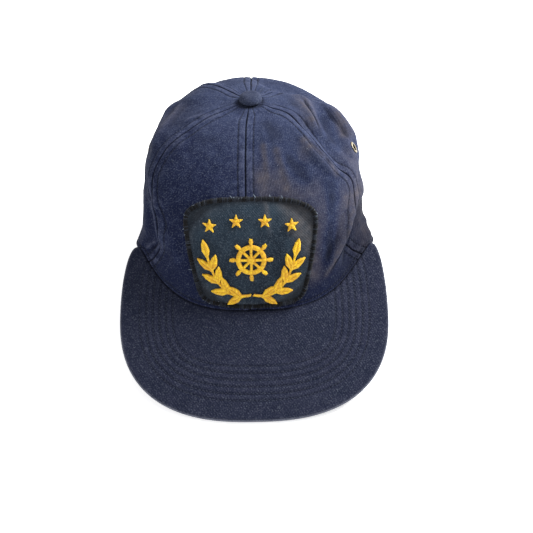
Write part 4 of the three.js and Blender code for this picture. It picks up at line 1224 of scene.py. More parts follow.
    def puckers(self, grid: dict[str, Array], along: Array, number: int) -> Array:
        """Small gathers that the stitching pulls into the cloth beside a seam."""
        total = np.zeros_like(along)
        for side, distance in enumerate((grid["from_left"], grid["from_right"])):
            place = np.stack([along, distance, np.full_like(along, 7.3 * number + 3.1 * side)], -1)
            fade = ease(distance, 0.4, 2.5)
            total += 0.55 * self.pucker_noise.at(place, (4.6, 16, 1)) * fade * np.exp(-distance / 11)
            total += 0.4 * self.pucker_noise.at(place + 40, (2.3, 6, 1)) * fade * np.exp(-distance / 6)
        return total

    def crumple(self, points: Array) -> Array:
        """Soft dents all over the washed cloth."""
        slack = 0.55 + 0.45 * self.noise.at(points, 34)
        return slack * (0.75 * self.noise.at(points, 15) + 0.3 * self.noise.at(points + 50, 6.5))

    def patch_paint(self, smooth: Array) -> Array:
        """How much the dye is rubbed off at points of the smooth crown, by its streaks; negative values are
        painted shade.
        """
        total = np.zeros(smooth.shape[:-1])
        for streak in self.rubbed_and_shade_streaks:
            ends = np.array(streak.path).reshape(2, 2)
            start, end = CROWN.smooth(ends[:, 0], ends[:, 1])
            span = end - start
            share = np.clip((smooth - start) @ span / max(float(span @ span), 1e-9), 0, 1)
            away = np.linalg.norm(smooth - start - share[..., None] * span, axis=-1)
            total += streak.strength * bell(away, 0, streak.radius)
        return total

    @staticmethod
    def fade_and_painted_light(smooth: Array, rise: Array) -> Array:
        """How far the sun has bleached the cloth, with painted light and shade: lighter on the wearer's left,
        where the light falls, and round the button, darker low down.
        """
        side = smooth[..., 0] / CROWN.half_width
        low = 1 - ease(rise, 0.1, 0.55)
        return 0.28 * side * (1 - low) + 0.45 * ease(rise, 0.72, 1.0) - 0.45 * low

    def build_panel(self, panel: Panel, number: int) -> bpy.types.Object:
        """Makes one panel.

        Args:
            panel: The panel.
            number: Its number, which picks its own puckers.

        Returns:
            The piece.
        """
        grid = self.layout(panel)
        azimuth = grid["azimuth"]
        rise = np.broadcast_to(self.rises[:, None], azimuth.shape)
        smooth = CROWN.smooth(azimuth, rise)
        normals = CROWN.normals(CROWN.smooth, azimuth, rise)
        base = CROWN.sewn(azimuth, rise)
        up = running_length(np.swapaxes(base, 0, 1)).T
        seam = np.minimum(grid["from_left"], grid["from_right"])
        hem = self.hem_height(base)
        tip = CROWN.visor.tip_behind_rim
        on_visor = 1 - ease(base[..., 1] + FRONT_REACH, tip - 4, tip + 2)
        free = 1 - self.under_badge(base, rise)
        for seat in SEATS:
            free = free * ease(np.linalg.norm(base - seat.centre, axis=-1), seat.radius - 2, seat.radius + 5)
        from_button = np.linalg.norm(base - SEATS[0].centre, axis=-1)
        gathers = np.stack([azimuth / 9, from_button / 30, np.zeros_like(azimuth)], -1)
        broad_wrinkles = self.crumple(base) * CROWN.calm(rise)
        fine = CROWN.fold_lift(FINE_FOLDS, smooth) * CROWN.calm(rise)
        fine += self.puckers(grid, up, number) * ease(up, 1, 6)
        fine += 0.55 * self.noise.at(gathers, 1) * np.exp(-np.maximum(from_button - 9, 0) / 9)
        sewn = self.seam_relief(seam) - 0.3 * bell(up, hem, 0.55) + 0.25 * bell(up, hem - 2, 1.2)
        sewn -= 0.7 * bell(up, 0, 0.9) + 0.7 * on_visor * bell(up, 4.0, 0.8)
        relief = np.maximum((broad_wrinkles + fine) * free + sewn * (0.25 + 0.75 * free), -1.4)
        outer = base + normals * relief[..., None]
        tape = 0.45 * (1 - ease(seam, 5.6, 6.4))
        depth = self.thickness + tape - broad_wrinkles * free * 0.8
        inner = base - grid_normals(base) * depth[..., None]
        inner[0, :, 2] = base[0, :, 2]
        folds = CROWN.fold_lift(BROAD_FOLDS, smooth) * CROWN.calm(rise)
        crest = ease(folds - softened(folds, 60), 0.15, 1.1)
        ridge = relief - softened(relief, 14)
        strip = ease(seam, 0.3, 0.9) * (1 - ease(seam, 4.8, 5.8))
        flecks = np.maximum(self.noise.at(base + 90, 1.9) + 0.5 * self.noise.at(base + 20, 5), 0)
        hem_edge = 0.4 * bell(up, 0.6, 0.7) * (1 - on_visor)
        # Paler cloth: wear on ridges, crests, seam strips and the hem edge, plus painted light on the
        # wearer's left and the top, and painted shade low down.
        wear = self.fade_and_painted_light(smooth, rise) + 0.3 * crest + 1.1 * np.maximum(ridge, 0) + hem_edge
        wear += (0.8 * flecks - 0.06) * strip
        dots = bell(seam, self.topstitch, 0.6) * (0.55 + 0.45 * np.cos(2 * math.pi * up / self.stitch_pitch))
        # Painted shade: dark in the hollows of the relief, in the seam grooves and in the stitch holes.
        painted_shade = 1.3 * np.maximum(-ridge - 0.06, 0) + 0.8 * bell(seam, 0, 0.42) + 0.5 * dots
        patch_paint = self.patch_paint(smooth)
        patch = patch_paint + 0.5 * np.maximum(ridge - 0.12, 0) + 0.1 * strip * flecks
        # Painted shade from the negative streaks, and along the hem line.
        painted_shade += np.maximum(-patch_paint, 0) + 0.5 * bell(up, hem, 0.6)
        # Painted shade in a ring round the button's seat.
        painted_shade += 0.7 * bell(from_button, SEATS[0].radius - 1.2, 1.6)
        # Painted shade low on the wearer's left, where the crown turns down and under.
        painted_shade += 0.6 * ease(smooth[..., 0], 50, 72) * (1 - ease(rise, 0.28, 0.46))
        self.keep_rows(outer, up, hem, free)
        rows, columns = rise.shape
        flat = np.stack([grid["across"], up], -1).reshape(-1, 2)
        paint = {"wear": wear, "depth": np.clip(painted_shade, 0, 0.85), "patch": np.clip(patch, 0, 1)}
        values = {key: np.tile(value.ravel(), 2) for key, value in paint.items()}
        points = np.concatenate([outer.reshape(-1, 3), inner.reshape(-1, 3)])
        skin = Skin(points, shell_faces(rows, columns), np.tile(flat, (2, 1)), values)
        name = panel.name.lower()
        piece = skin.build(f"crown_{name}", self.finishes.crown)
        if panel in (Panel.SIDE_LEFT, Panel.SIDE_RIGHT):
            self.pierce(piece, SEATS[1 if panel is Panel.SIDE_LEFT else 2])
        return piece

    def keep_rows(self, outer: Array, up: Array, hem: Array, free: Array) -> None:
        """Keeps a panel's rows of stitching: one beside each seam and one along the hem."""
        normals = grid_normals(outer)
        column = self.near_seam.index(self.topstitch)
        clear = np.linalg.norm(outer - SEATS[0].centre, axis=-1) > 8.5
        kept = clear & (free > 0.05) & (up > 1.5)
        lift = outer + normals * 0.12
        for place in (column, outer.shape[1] - 1 - column):
            run = ThreadRun(lift[:, place], normals[:, place])
            self.runs += run.cut(kept[:, place])
        points, ups = [], []
        for i in range(outer.shape[1]):
            height = hem[0, i]
            points.append([np.interp(height, up[:, i], lift[:, i, k]) for k in range(3)])
            ups.append([np.interp(height, up[:, i], normals[:, i, k]) for k in range(3)])
        run = ThreadRun(np.array(points), unit(np.array(ups)))
        self.runs.append(run)

    def build(self) -> None:
        """Makes the panels and their stitching, and pierces the eyelet holes."""
        for number, panel in enumerate(Panel):
            piece = self.build_panel(panel, number)
            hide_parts(f"panel_{panel.name.lower()}")
            self.pieces.append(piece)
        source = path_object("seam rows", self.runs)
        sizes = {"Pitch": self.stitch_pitch * MM, "Thread": self.finishes.seam_thread}
        rows = stitch_tree().grow("crown_stitching", source, sizes)
        self.pieces.append(rows)

    def pierce(self, piece: bpy.types.Object, seat: Seat, reach: float = 8.0, steps: int = 32) -> None:
        """Cuts a round hole through the cloth.

        Args:
            piece: The panel.
            seat: Where the hole goes.
            reach: How far the drill stands out on each side.
            steps: Points round the hole.
        """
        turn = np.linspace(0, 2 * math.pi, steps, endpoint=False)
        side = unit(np.cross(seat.axis, [0.0, 0.0, 1.0]))
        other = np.cross(seat.axis, side)
        ring = self.hole_radius * (np.cos(turn)[:, None] * side + np.sin(turn)[:, None] * other)
        points = np.concatenate([seat.centre + ring + side * seat.axis for side in (-reach, reach)])
        faces = [[i, (i + 1) % steps, steps + (i + 1) % steps, steps + i] for i in range(steps)]
        faces += [list(range(steps - 1, -1, -1)), list(range(steps, 2 * steps))]
        drill = Skin(points, faces).build("drill")
        modifier = piece.modifiers.new("hole", "BOOLEAN")
        modifier.object = drill
        modifier.operation = "DIFFERENCE"
        modifier.solver = "EXACT"
        mesh = evaluated_mesh(piece)
        piece.modifiers.remove(modifier)
        piece.data = mesh
        bpy.data.objects.remove(drill)


@dataclass
class Visor:
    """A stiff board covered with cloth on both sides, with rows of stitching that follow its edge."""

    finishes: Finishes
    form: VisorForm = VisorForm()
    crown_overlap: float = -1.1
    columns: int = 230
    inner_rows: int = 88
    near_edge: tuple[float, ...] = (0, 0.06, 0.2, 0.42, 0.7, 0.95, 1.15, 1.3, 1.45, 1.7, 2.1, 2.7, 3.4)
    edge_round: float = 1.1
    edge_line: float = 1.3
    first_row: float = 14.3
    row_spacing: float = 4.85
    rows: int = 6
    stitch_pitch: float = 2.7
    pieces: list[bpy.types.Object] = field(default_factory=list)

    def __post_init__(self) -> None:
        """Finds the tips, and sets up the noise that warps the old board."""
        low, high = 0.0, 90.0
        tip_y = self.form.tip_behind_rim - FRONT_REACH
        for _ in range(40):
            middle = (low + high) / 2
            behind = CROWN.rim_plan(np.array([middle]), 0.45)[1][0] < tip_y
            low, high = (middle, high) if behind else (low, middle)
        self.tip_azimuth = low
        tips = np.abs(CROWN.rim_plan(np.array([-low, low]), 0.45)[0]) + self.form.tip_width
        self.tip_across = (float(tips[0]), float(tips[1]))
        self.noise = LatticeNoise(37)

    def edge_line_points(self, count: int) -> Array:
        """The outer edge as across and along values."""
        return np.stack(self.form.edge(np.linspace(0, 1, count), self.tip_across), -1)

    def from_edge(self, across: Array, along: Array) -> Array:
        """Distance of each place from the outer edge, in the visor's own plane."""
        line = self.edge_line_points(500)
        flat = np.stack([across.ravel(), along.ravel()], -1)
        nearest = np.full(len(flat), np.inf)
        step = np.diff(line, axis=0)
        for start, span in zip(line[:-1], step):
            reach = flat - start
            t = np.clip(reach @ span / max(span @ span, 1e-12), 0, 1)
            nearest = np.minimum(nearest, np.linalg.norm(reach - t[:, None] * span, axis=1))
        return nearest.reshape(across.shape)

    def relief(self, across: Array, along: Array, edge: Array) -> Array:
        """Height of the cloth: sunk rows of stitches and soft swells between them, on a warped board."""
        place = np.stack([across, along, np.zeros_like(across)], -1)
        warp = 0.3 * self.noise.at(place, 30) + 0.07 * self.noise.at(place + 9, 7)
        last = self.first_row + (self.rows - 1) * self.row_spacing
        quilted = ease(edge, self.first_row - 3, self.first_row) * (1 - ease(edge, last, last + 3))
        swell = -0.12 * np.cos(2 * math.pi * (edge - self.first_row) / self.row_spacing) * quilted
        grooves = sum(bell(edge, self.first_row + k * self.row_spacing, 0.5) for k in range(self.rows))
        return warp * ease(edge, 0.5, 6) + swell - 0.24 * grooves - 0.22 * bell(edge, self.edge_line, 0.22)

    def build(self) -> None:
        """Makes the covered board and its stitching."""
        u = np.linspace(0, 1, self.columns)
        edge_across, edge_along = self.form.edge(u, self.tip_across)
        azimuth = -self.tip_azimuth + 2 * self.tip_azimuth * u
        rim_x, rim_y = CROWN.rim_plan(azimuth, self.crown_overlap)
        root = self.form.along_at(rim_x, rim_y, 0.0)
        width = np.hypot(edge_across - rim_x, edge_along - root)
        near = np.array(self.near_edge)[:, None] * np.minimum(1, width / (2.2 * self.near_edge[-1]))
        share = np.linspace(0, 1, self.inner_rows + 1)[1:, None]
        out = np.concatenate([near, near[-1:] + (width - near[-1:]) * share])
        v = out / width
        across = edge_across + (rim_x - edge_across) * v
        middle = (self.form.top_level + self.form.bottom_level) / 2
        faces, flats = [], []
        paint = {"wear": [], "depth": [], "patch": []}
        for level, side in ((self.form.top_level, 1), (self.form.bottom_level, -1)):
            along_root = self.form.along_at(rim_x, rim_y, level)
            along = edge_along + (along_root - edge_along) * v
            edge = self.from_edge(across, along)
            full = np.sqrt(np.clip(1 - (1 - np.clip(edge / self.edge_round, 0, 1)) ** 2, 0, 1))
            relief = self.relief(across, along, edge) * ease(edge, 0, 1) - 0.5 * bell(width - out, 0, 0.9)
            placed = middle + (level - middle) * full + side * relief
            faces.append(self.form.point(across, along, placed))
            ridge = relief - softened(relief, 8)
            paint["wear"].append(np.clip(0.9 * bell(edge, 0.3, 0.9) + 1.5 * np.maximum(ridge, 0), 0, 1))
            # Painted shade in the sunk stitch rows and where the visor runs in under the crown.
            sunk = 2.2 * np.maximum(-ridge, 0) + 0.7 * bell(width - out, 0, 1.2)
            paint["depth"].append(np.clip(sunk, 0, 0.8))
            paint["patch"].append(np.clip(0.9 * bell(edge, 0.2, 0.9), 0, 1))
            flats.append(np.stack([across, along], -1).reshape(-1, 2))
            self.pieces.append(self.stitch_rows(side, level))
        points = np.concatenate([face.reshape(-1, 3) for face in faces])
        values = {key: np.concatenate([part.ravel() for part in parts]) for key, parts in paint.items()}
        skin = Skin(points, shell_faces(*across.shape), np.concatenate(flats), values)
        board = skin.build("visor", self.finishes.visor)
        merge_doubles(board)
        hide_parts("visor_top", "visor_under")
        self.pieces.append(board)

    def stitch_rows(self, side: int, level: float) -> bpy.types.Object:
        """Makes the stitches of one face.

        Args:
            side: 1 for the top and -1 for the underside.
            level: The face's level.

        Returns:
            The piece.
        """
        line = self.edge_line_points(700)
        along_line = unit(np.gradient(line, axis=0))
        inward = np.stack([along_line[:, 1], -along_line[:, 0]], -1)
        runs = []
        for row in range(self.rows):
            inset = self.first_row + row * self.row_spacing
            place = line + inward * inset
            across, along = place[:, 0], place[:, 1]
            edge = self.from_edge(across, along)
            lift = level + side * (self.relief(across, along, edge) + 0.12)
            points = self.form.point(across, along, lift)
            ahead = self.form.point(across, along + 1, lift) - points
            normals = unit(np.cross(np.tile([1.0, 0.0, 0.0], (len(points), 1)), -ahead)) * side
            azimuth = np.degrees(np.arctan2(points[:, 0], -points[:, 1]))
            rim = np.hypot(*CROWN.rim_plan(azimuth, 1.5))
            outside = (np.hypot(points[:, 0], points[:, 1]) > rim) & (np.abs(azimuth) < self.tip_azimuth)
            runs += ThreadRun(points, normals).cut(outside & (edge > inset - 0.4))
        source = path_object("visor rows", runs)
        sizes = {"Pitch": self.stitch_pitch * MM, "Seed": 40 + side, "Thread": self.finishes.visor_thread}
        rows = stitch_tree().grow(f"visor_stitching_{'top' if side > 0 else 'under'}", source, sizes)
        return rows


def turned_skin(profile: Sequence[tuple[float, float]], seat: Seat, steps: int) -> Skin:
    """A turned form on a seat.

    Args:
        profile: Radius and height of each ring, from the inside end round the outside.
        seat: Where it stands, and its axis.
        steps: Points round each ring.

    Returns:
        The skin, closed where the profile meets itself or the axis.
    """
    turn = np.linspace(0, 2 * math.pi, steps, endpoint=False)
    side = unit(np.cross([0.0, 1.0, 0.0], seat.axis))
    other = np.cross(seat.axis, side)
    rings = np.array(profile)
    out = np.cos(turn)[:, None] * side + np.sin(turn)[:, None] * other
    points = seat.centre + rings[:, 0, None, None] * out + rings[:, 1, None, None] * seat.axis
    flat = rings[:, 0, None, None] * np.stack([np.cos(turn), np.sin(turn)], -1)
    index = np.arange(len(rings) * steps).reshape(len(rings), steps)
    ahead = np.roll(index, -1, axis=1)
    faces = np.stack([index[:-1], ahead[:-1], ahead[1:], index[1:]], -1).reshape(-1, 4)
    return Skin(points.reshape(-1, 3), faces.tolist(), flat.reshape(-1, 2))


@dataclass
class Fittings:
    """The cloth-covered button with its washer, and the two rolled metal eyelets."""

    finishes: Finishes
    button_radius: float = 8.5
    button_height: float = 7.0
    clearance: float = 0.35
    cloth: float = 1.6
    washer_radius: float = 7.0
    washer_thickness: float = 0.8
    shank_radius: float = 2.4
    eyelet_radius: float = 4.4
    eyelet_hole: float = 2.6
    barrel_wall: float = 0.3
    flange_height: float = 0.45
    inner_washer: float = 0.5
    gathers: int = 17
    pieces: list[bpy.types.Object] = field(default_factory=list)

    def build(self) -> None:
        """Makes the button, its washer and the eyelets."""
        self.build_button()
        self.build_washer()
        for name, seat in (("left", SEATS[1]), ("right", SEATS[2])):
            self.build_eyelet(name, seat)

    def build_button(self) -> None:
        """Makes the button's cloth cover, gathered under its rim."""
        radius, height, foot = self.button_radius, self.button_height, self.clearance
        turn = np.linspace(-0.32 * math.pi, 0.5 * math.pi, 24)[:-1]
        sine = np.sin(turn)
        level = 0.28 + 0.72 * np.maximum(sine, 0) ** 0.9 + 0.28 * np.minimum(sine, 0)
        dome = np.stack([radius * np.cos(turn) ** 0.8, foot + height * level], -1)
        profile = [(0.0, foot), (self.shank_radius, foot), *map(tuple, dome), (0.0, foot + height)]
        seat, steps = SEATS[0], 64
        skin = turned_skin(profile, seat, steps)
        away = skin.points - seat.centre
        level = away @ seat.axis
        out = np.linalg.norm(away - level[:, None] * seat.axis, axis=1)
        angle = np.tile(np.linspace(0, 2 * math.pi, steps, endpoint=False), len(profile))
        noise = LatticeNoise(51)
        drift = noise.at(np.stack([angle * 2, level / 3, level * 0], -1), 1)
        low = ease(out, radius * 0.6, radius) * (1 - ease(level, 1.0, 3.4))
        gather = 0.16 * np.sin(self.gathers * angle + 1.5 * drift) * low
        dent = 0.2 * noise.at(skin.points, 3.4) * ease(level, foot + 0.3, foot + 2)
        dent -= 0.2 * bell(out, 0, 2.5) * (level > 2)
        skin.points = skin.points + unit(away + 1e-9) * gather[:, None] + seat.axis * dent[:, None]
        rub = 0.35 * ease(out, radius * 0.6, radius * 0.95) * ease(level, 1.2, 2.4) + 0.35
        shaded = 0.8 * (1 - ease(level, foot, foot + 1.6))
        skin.values = {"wear": rub, "depth": shaded, "patch": np.full_like(rub, 0.12)}
        cover = skin.build("button_cover", self.finishes.button)
        merge_doubles(cover)
        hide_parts("top_button")
        self.pieces.append(cover)

    def build_washer(self) -> None:
        """Makes the washer behind the cloth, with the shank that carries the button."""
        top, low = self.clearance + 0.3, -self.cloth - self.clearance
        washer = [
            (0.0, low - self.washer_thickness),
            (self.washer_radius * 0.94, low - self.washer_thickness),
            (self.washer_radius, low - self.washer_thickness * 0.7),
            (self.washer_radius, low - self.washer_thickness * 0.3),
            (self.washer_radius * 0.94, low),
            (self.shank_radius, low),
            (self.shank_radius, top),
            (0.0, top),
        ]
        back = turned_skin(washer, SEATS[0], 48).build("button_washer", self.finishes.metal)
        merge_doubles(back)
        self.pieces.append(back)

    def build_eyelet(self, name: str, seat: Seat) -> None:
        """Makes one eyelet: a rolled flange outside, a barrel through the cloth and a washer inside.

        Args:
            name: Which side it is on.
            seat: Where it sits.
        """
        barrel = self.eyelet_hole + self.barrel_wall
        low = -self.cloth - self.clearance
        middle = (self.eyelet_radius + self.eyelet_hole) / 2
        half = (self.eyelet_radius - self.eyelet_hole) / 2
        turn = np.linspace(-0.15 * math.pi, 1.15 * math.pi, 18)
        roll = [
            (middle + half * math.cos(a), self.clearance + 0.25 + self.flange_height * math.sin(a) * 0.85)
            for a in turn
        ]
        profile = [
            (self.eyelet_hole, low - self.inner_washer),
            (self.eyelet_radius * 0.86, low - self.inner_washer),
            (self.eyelet_radius * 0.9, low - self.inner_washer * 0.5),
            (self.eyelet_radius * 0.86, low),
            (barrel, low),
            (barrel, self.clearance),
            (self.eyelet_radius * 0.96, self.clearance - 0.25),
            *roll,
            (self.eyelet_hole, self.clearance - 0.3),
            (self.eyelet_hole, low - self.inner_washer),
        ]
        skin = turned_skin(profile, seat, 56)
        # Painted shade inside the barrel.
        skin.values = {"depth": np.repeat([radius < barrel - 0.1 for radius, _ in profile], 56)}
        eyelet = skin.build(f"eyelet_ring_{name}", self.finishes.metal)
        merge_doubles(eyelet)
        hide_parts(f"eyelet_{name}")
        self.pieces.append(eyelet)


@dataclass
class Badge:
    """A twill badge with an overlocked edge and a satin stitch design: a wheel, two sprays and four stars."""

    finishes: Finishes
    height: float = BADGE_HEIGHT
    top_half_width: float = BADGE_HALF_WIDTH
    bottom_half_width: float = 36.5
    base: float = BADGE_BASE
    aside: float = BADGE_ASIDE
    shoulder_drop: float = 15.0
    shoulder_squareness: float = 3.6
    corner_lift: float = 3.5
    thickness: float = 1.0
    gap: float = 0.36
    border_width: float = 3.2
    border_thickness: float = 2.2
    design_lift: float = 2.4
    outline_steps: int = 46
    finer: int = 6
    rings: int = 30
    field_reach: tuple[float, float] = (46.0, 40.0)
    strand: float = 0.55
    strand_pitch: float = 0.44
    strand_crown: float = 0.35
    wrap_pitch: float = 1.15
    frays: int = 26
    fray_thickness: float = 0.42  # real fibres are 0.2 mm thick, too fine to show
    star_radius: float = 4.8
    star_inner: float = 0.42
    stars: tuple[tuple[float, float], ...] = ((-0.6, 0.74), (-0.21, 0.79), (0.21, 0.79), (0.6, 0.74))
    wheel_height: float = 37.0
    wheel_radius: float = 9.0
    wheel_rim: float = 3.0
    wheel_hub: float = 2.8
    wheel_spoke: float = 1.6
    wheel_handle: float = 4.2
    wheel_spokes: int = 8
    spray_reach: float = 31.0
    spray_foot: float = 11.0
    spray_rise: float = 30.0
    stem_width: float = 1.3
    leaf_length: float = 11.5
    leaf_width: float = 5.2
    leaf_pairs: int = 5
    leaf_spread: float = 0.62
    pieces: list[bpy.types.Object] = field(default_factory=list)

    def __post_init__(self) -> None:
        """Measures the crown's front line, and finds the badge's outline."""
        self.marks, self.lengths = front_line()
        self.noise = LatticeNoise(61)
        self.random = np.random.default_rng(17)
        self.outline = self.make_outline()

    def wrap(self, flat: Array, lift: Array | float) -> Array:
        """Places flat points on the crown's front.

        Args:
            flat: Places across and up from the badge's lower edge.
            lift: How far each stands off the cloth.

        Returns:
            Points of the model.
        """
        rise = np.interp(self.base + flat[..., 1], self.lengths, self.marks)
        low, high = np.full(rise.shape, -80.0), np.full(rise.shape, 80.0)
        for _ in range(26):
            middle = (low + high) / 2
            short = CROWN.smooth(middle, rise)[..., 0] < flat[..., 0] + self.aside
            low, high = np.where(short, middle, low), np.where(short, high, middle)
        return CROWN.lifted(low, rise, np.broadcast_to(np.asarray(lift, float), rise.shape))

    def square(self, across: Array, up: Array) -> Array:
        """A place on the badge, from shares of its half width and of its height."""
        half = self.bottom_half_width + (self.top_half_width - self.bottom_half_width) * (1 - (1 - up) ** 1.7)
        low = self.corner_lift * across**2
        high = self.height - self.shoulder_drop * np.abs(across) ** self.shoulder_squareness
        return np.stack([across * half, low + (high - low) * up], -1)

    def make_outline(self) -> Array:
        """The badge's outline, evenly spaced, with its corners softened as the CAD source softens them."""
        corners = np.array([[-1, 0], [1, 0], [1, 1], [-1, 1], [-1, 0]], float)
        share = np.arange(60)[:, None] / 60
        sharp = np.concatenate([a + (b - a) * share for a, b in zip(corners[:-1], corners[1:])])
        sharp = self.square(sharp[:, 0], sharp[:, 1])
        closed = np.concatenate([sharp, sharp[:1]])
        length = running_length(closed)
        at = np.linspace(0, length[-1], self.outline_steps, endpoint=False)
        even = np.stack([np.interp(at, length, closed[:, k]) for k in range(2)], -1)
        even = (np.roll(even, 1, 0) + np.roll(even, -1, 0) + 2 * even) / 4
        p0, p1, p2, p3 = (np.roll(even, k, 0)[:, None, :] for k in (1, 0, -1, -2))
        t = (np.arange(self.finer) / self.finer)[None, :, None]
        curve = 2 * p1 + (p2 - p0) * t + (2 * p0 - 5 * p1 + 4 * p2 - p3) * t**2
        curve += (3 * p1 - p0 - 3 * p2 + p3) * t**3
        return (curve / 2).reshape(-1, 2)

    def inset(self, distance: float) -> Array:
        """The outline moved inwards."""
        along = unit(np.roll(self.outline, -1, 0) - np.roll(self.outline, 1, 0))
        return self.outline + distance * np.stack([-along[:, 1], along[:, 0]], -1)

    def build(self) -> None:
        """Makes the field, the border and the design."""
        self.build_field()
        self.build_border()
        self.build_design()

    def build_field(self) -> None:
        """Makes the twill field, as rings of points round its middle."""
        edge = self.inset(self.border_width * 0.6)
        middle = np.array([0.0, self.height / 2])
        share = (np.arange(1, self.rings + 1) / self.rings)[:, None, None]
        rings = (middle + (edge - middle) * share).reshape(-1, 2)
        flat = np.concatenate([middle[None], rings])
        place = np.stack([flat[:, 0], flat[:, 1], np.zeros(len(flat))], -1)
        crease = bell(flat[:, 0], 10.0 + 0.12 * (80 - flat[:, 1]), 1.7) * ease(flat[:, 1], 50, 66)
        ripple = 0.16 * self.noise.at(place, 9) + 0.07 * self.noise.at(place + 30, 4) + 0.3 * crease
        top = self.wrap(flat, self.gap + self.thickness + ripple)
        low = self.wrap(flat, self.gap)
        count = len(edge)
        index = 1 + np.arange(self.rings * count).reshape(self.rings, count)
        ahead = np.roll(index, -1, axis=1)
        fan = np.stack([np.zeros(count, int), index[0], ahead[0]], -1)
        quads = np.stack([index[:-1], index[1:], ahead[1:], ahead[:-1]], -1).reshape(-1, 4)
        half = len(flat)
        side = np.stack([index[-1], index[-1] + half, ahead[-1] + half, ahead[-1]], -1)
        faces = [*fan.tolist(), *quads.tolist(), *side.tolist()]
        faces += [*(fan[:, ::-1] + half).tolist(), *(quads[:, ::-1] + half).tolist()]
        away = np.linalg.norm((flat - middle) / self.field_reach, axis=1)
        blotch = self.noise.at(place + 70, 14)
        shore = flat[:, 0] + 0.45 * (flat[:, 1] - 76)
        side = ease(shore, 13, 26) * ease(flat[:, 1], 22, 40) * (0.75 + 0.5 * blotch)
        patch = np.clip(side + 0.8 * crease + 0.3 * ease(away, 0.8, 1.0), 0, 1)
        rub = np.clip(0.25 + 0.4 * ease(flat[:, 1], 40, 76) + 2.0 * ripple, 0, 1)
        # The "depth" value is painted shade at the field's edge, under the border.
        values = {"wear": rub, "depth": 0.6 * ease(away, 0.93, 1.0), "patch": patch}
        values = {key: np.tile(value, 2) for key, value in values.items()}
        skin = Skin(np.concatenate([top, low]), faces, np.tile(flat, (2, 1)), values)
        piece = skin.build("badge_cloth", self.finishes.badge)
        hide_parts("badge_field")
        self.pieces.append(piece)

    def build_border(self) -> None:
        """Makes the border: a cord round the badge's edge and the threads that wrap over it."""
        turn = np.linspace(0, math.pi, 11)
        top = self.gap + self.border_thickness * 0.78
        across = self.border_width * (1 - np.cos(turn)) / 2
        lift = self.gap + (top - self.gap) * np.sin(turn) ** 0.7
        across, lift = np.append(across, self.border_width / 2), np.append(lift, self.gap * 0.5)
        rails = np.stack([self.wrap(self.inset(a), up) for a, up in zip(across, lift)])
        flat = np.stack([self.inset(a) for a in across])
        count = rails.shape[1]
        index = np.arange(len(across) * count).reshape(len(across), count)
        down = np.roll(index, -1, axis=0)
        faces = np.stack([index, np.roll(index, -1, 1), np.roll(down, -1, 1), down], -1).reshape(-1, 4)
        cord = Skin(rails.reshape(-1, 3), faces.tolist(), flat.reshape(-1, 2)).build(
            "badge_edge_cord", self.finishes.border_thread
        )
        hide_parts("badge_border")
        line = self.inset(self.border_width / 2)
        line = np.concatenate([line, line[:1]])
        low, high = self.wrap(line, self.gap + 0.25), self.wrap(line, self.gap + 1.25)
        source = path_object("edge line", [ThreadRun(low, unit(high - low))])
        sizes = {
            "Pitch": self.wrap_pitch * MM,
            "Reach": self.border_width * 0.53 * MM,
            "Rise": (self.border_thickness - 0.2) * MM,
            "Thickness": 0.95 * MM,
            "Thread": self.finishes.border_thread,
        }
        wraps = overlock_tree().grow("badge_edge_wraps", source, sizes)
        self.pieces += [cord, wraps, self.build_frays()]

    def build_frays(self) -> bpy.types.Object:
        """Makes the loose pale fibres that stand out of the worn border."""
        outline = self.inset(0.5)
        away = outline - self.inset(1.5)
        t = np.linspace(0, 1, 5)[:, None]
        runs = []
        for _ in range(self.frays):
            at = int(self.random.integers(len(outline)))
            length, lean = self.random.uniform(0.2, 1.0), self.random.uniform(-1.8, 1.8, 2)
            flat = outline[at] + away[at] * (length * t - 0.4) + lean * t * t
            points = self.wrap(flat, (self.border_thickness - 0.3 + 0.5 * np.sin(math.pi * t))[:, 0])
            runs.append(ThreadRun(points, np.tile([0.0, -1.0, 0.0], (5, 1))))
        source = path_object("fray lines", runs, self.random.uniform(0, 1, len(runs)))
        sizes = {"Thickness": self.fray_thickness * MM, "Thread": self.finishes.fray_thread}
        frays = satin_tree().grow("badge_frays", source, sizes)
        return frays

    def across_line(
        self, start: Array, end: Array, half_at: Callable[[Array], Array], skew: float = 0.0
    ) -> Array:
        """Strands that lie square to a line, or skewed to it.

        Args:
            start: The line's first place.
            end: Its last place.
            half_at: Half the design's width at each distance along the line.
            skew: How far each strand leans forwards at one side and backwards at the other.

        Returns:
            The two ends of each strand.
        """
        along = end - start
        length = float(np.linalg.norm(along))
        along = along / length
        out = np.array([-along[1], along[0]])
        at = np.arange(self.strand_pitch / 2, length, self.strand_pitch)
        half = np.maximum(half_at(at), 0.15)[:, None]
        middle = start + at[:, None] * along
        lean = out + skew * along
        return np.stack([middle - half * lean, middle + half * lean], 1)

    def star(self, x: float, v: float) -> Array:
        """Strands of a five-pointed star."""
        centre = np.array([x, v])
        inner = self.star_radius * self.star_inner
        start, out = inner * math.cos(math.pi / 5), inner * math.sin(math.pi / 5)
        strands = []
        for i in range(5):
            angle = math.pi / 2 + 2 * math.pi * i / 5
            ray = np.array([math.cos(angle), math.sin(angle)])
            span = self.star_radius - start
            point = lambda at: out * (1 - at / span)
            strands.append(self.across_line(centre + ray * start, centre + ray * self.star_radius, point))
        core = lambda at: np.sqrt(np.maximum(inner**2 * 0.9 - (at - start) ** 2, 0.3))
        strands.append(self.across_line(centre - [0, start], centre + [0, start], core))
        return np.concatenate(strands)

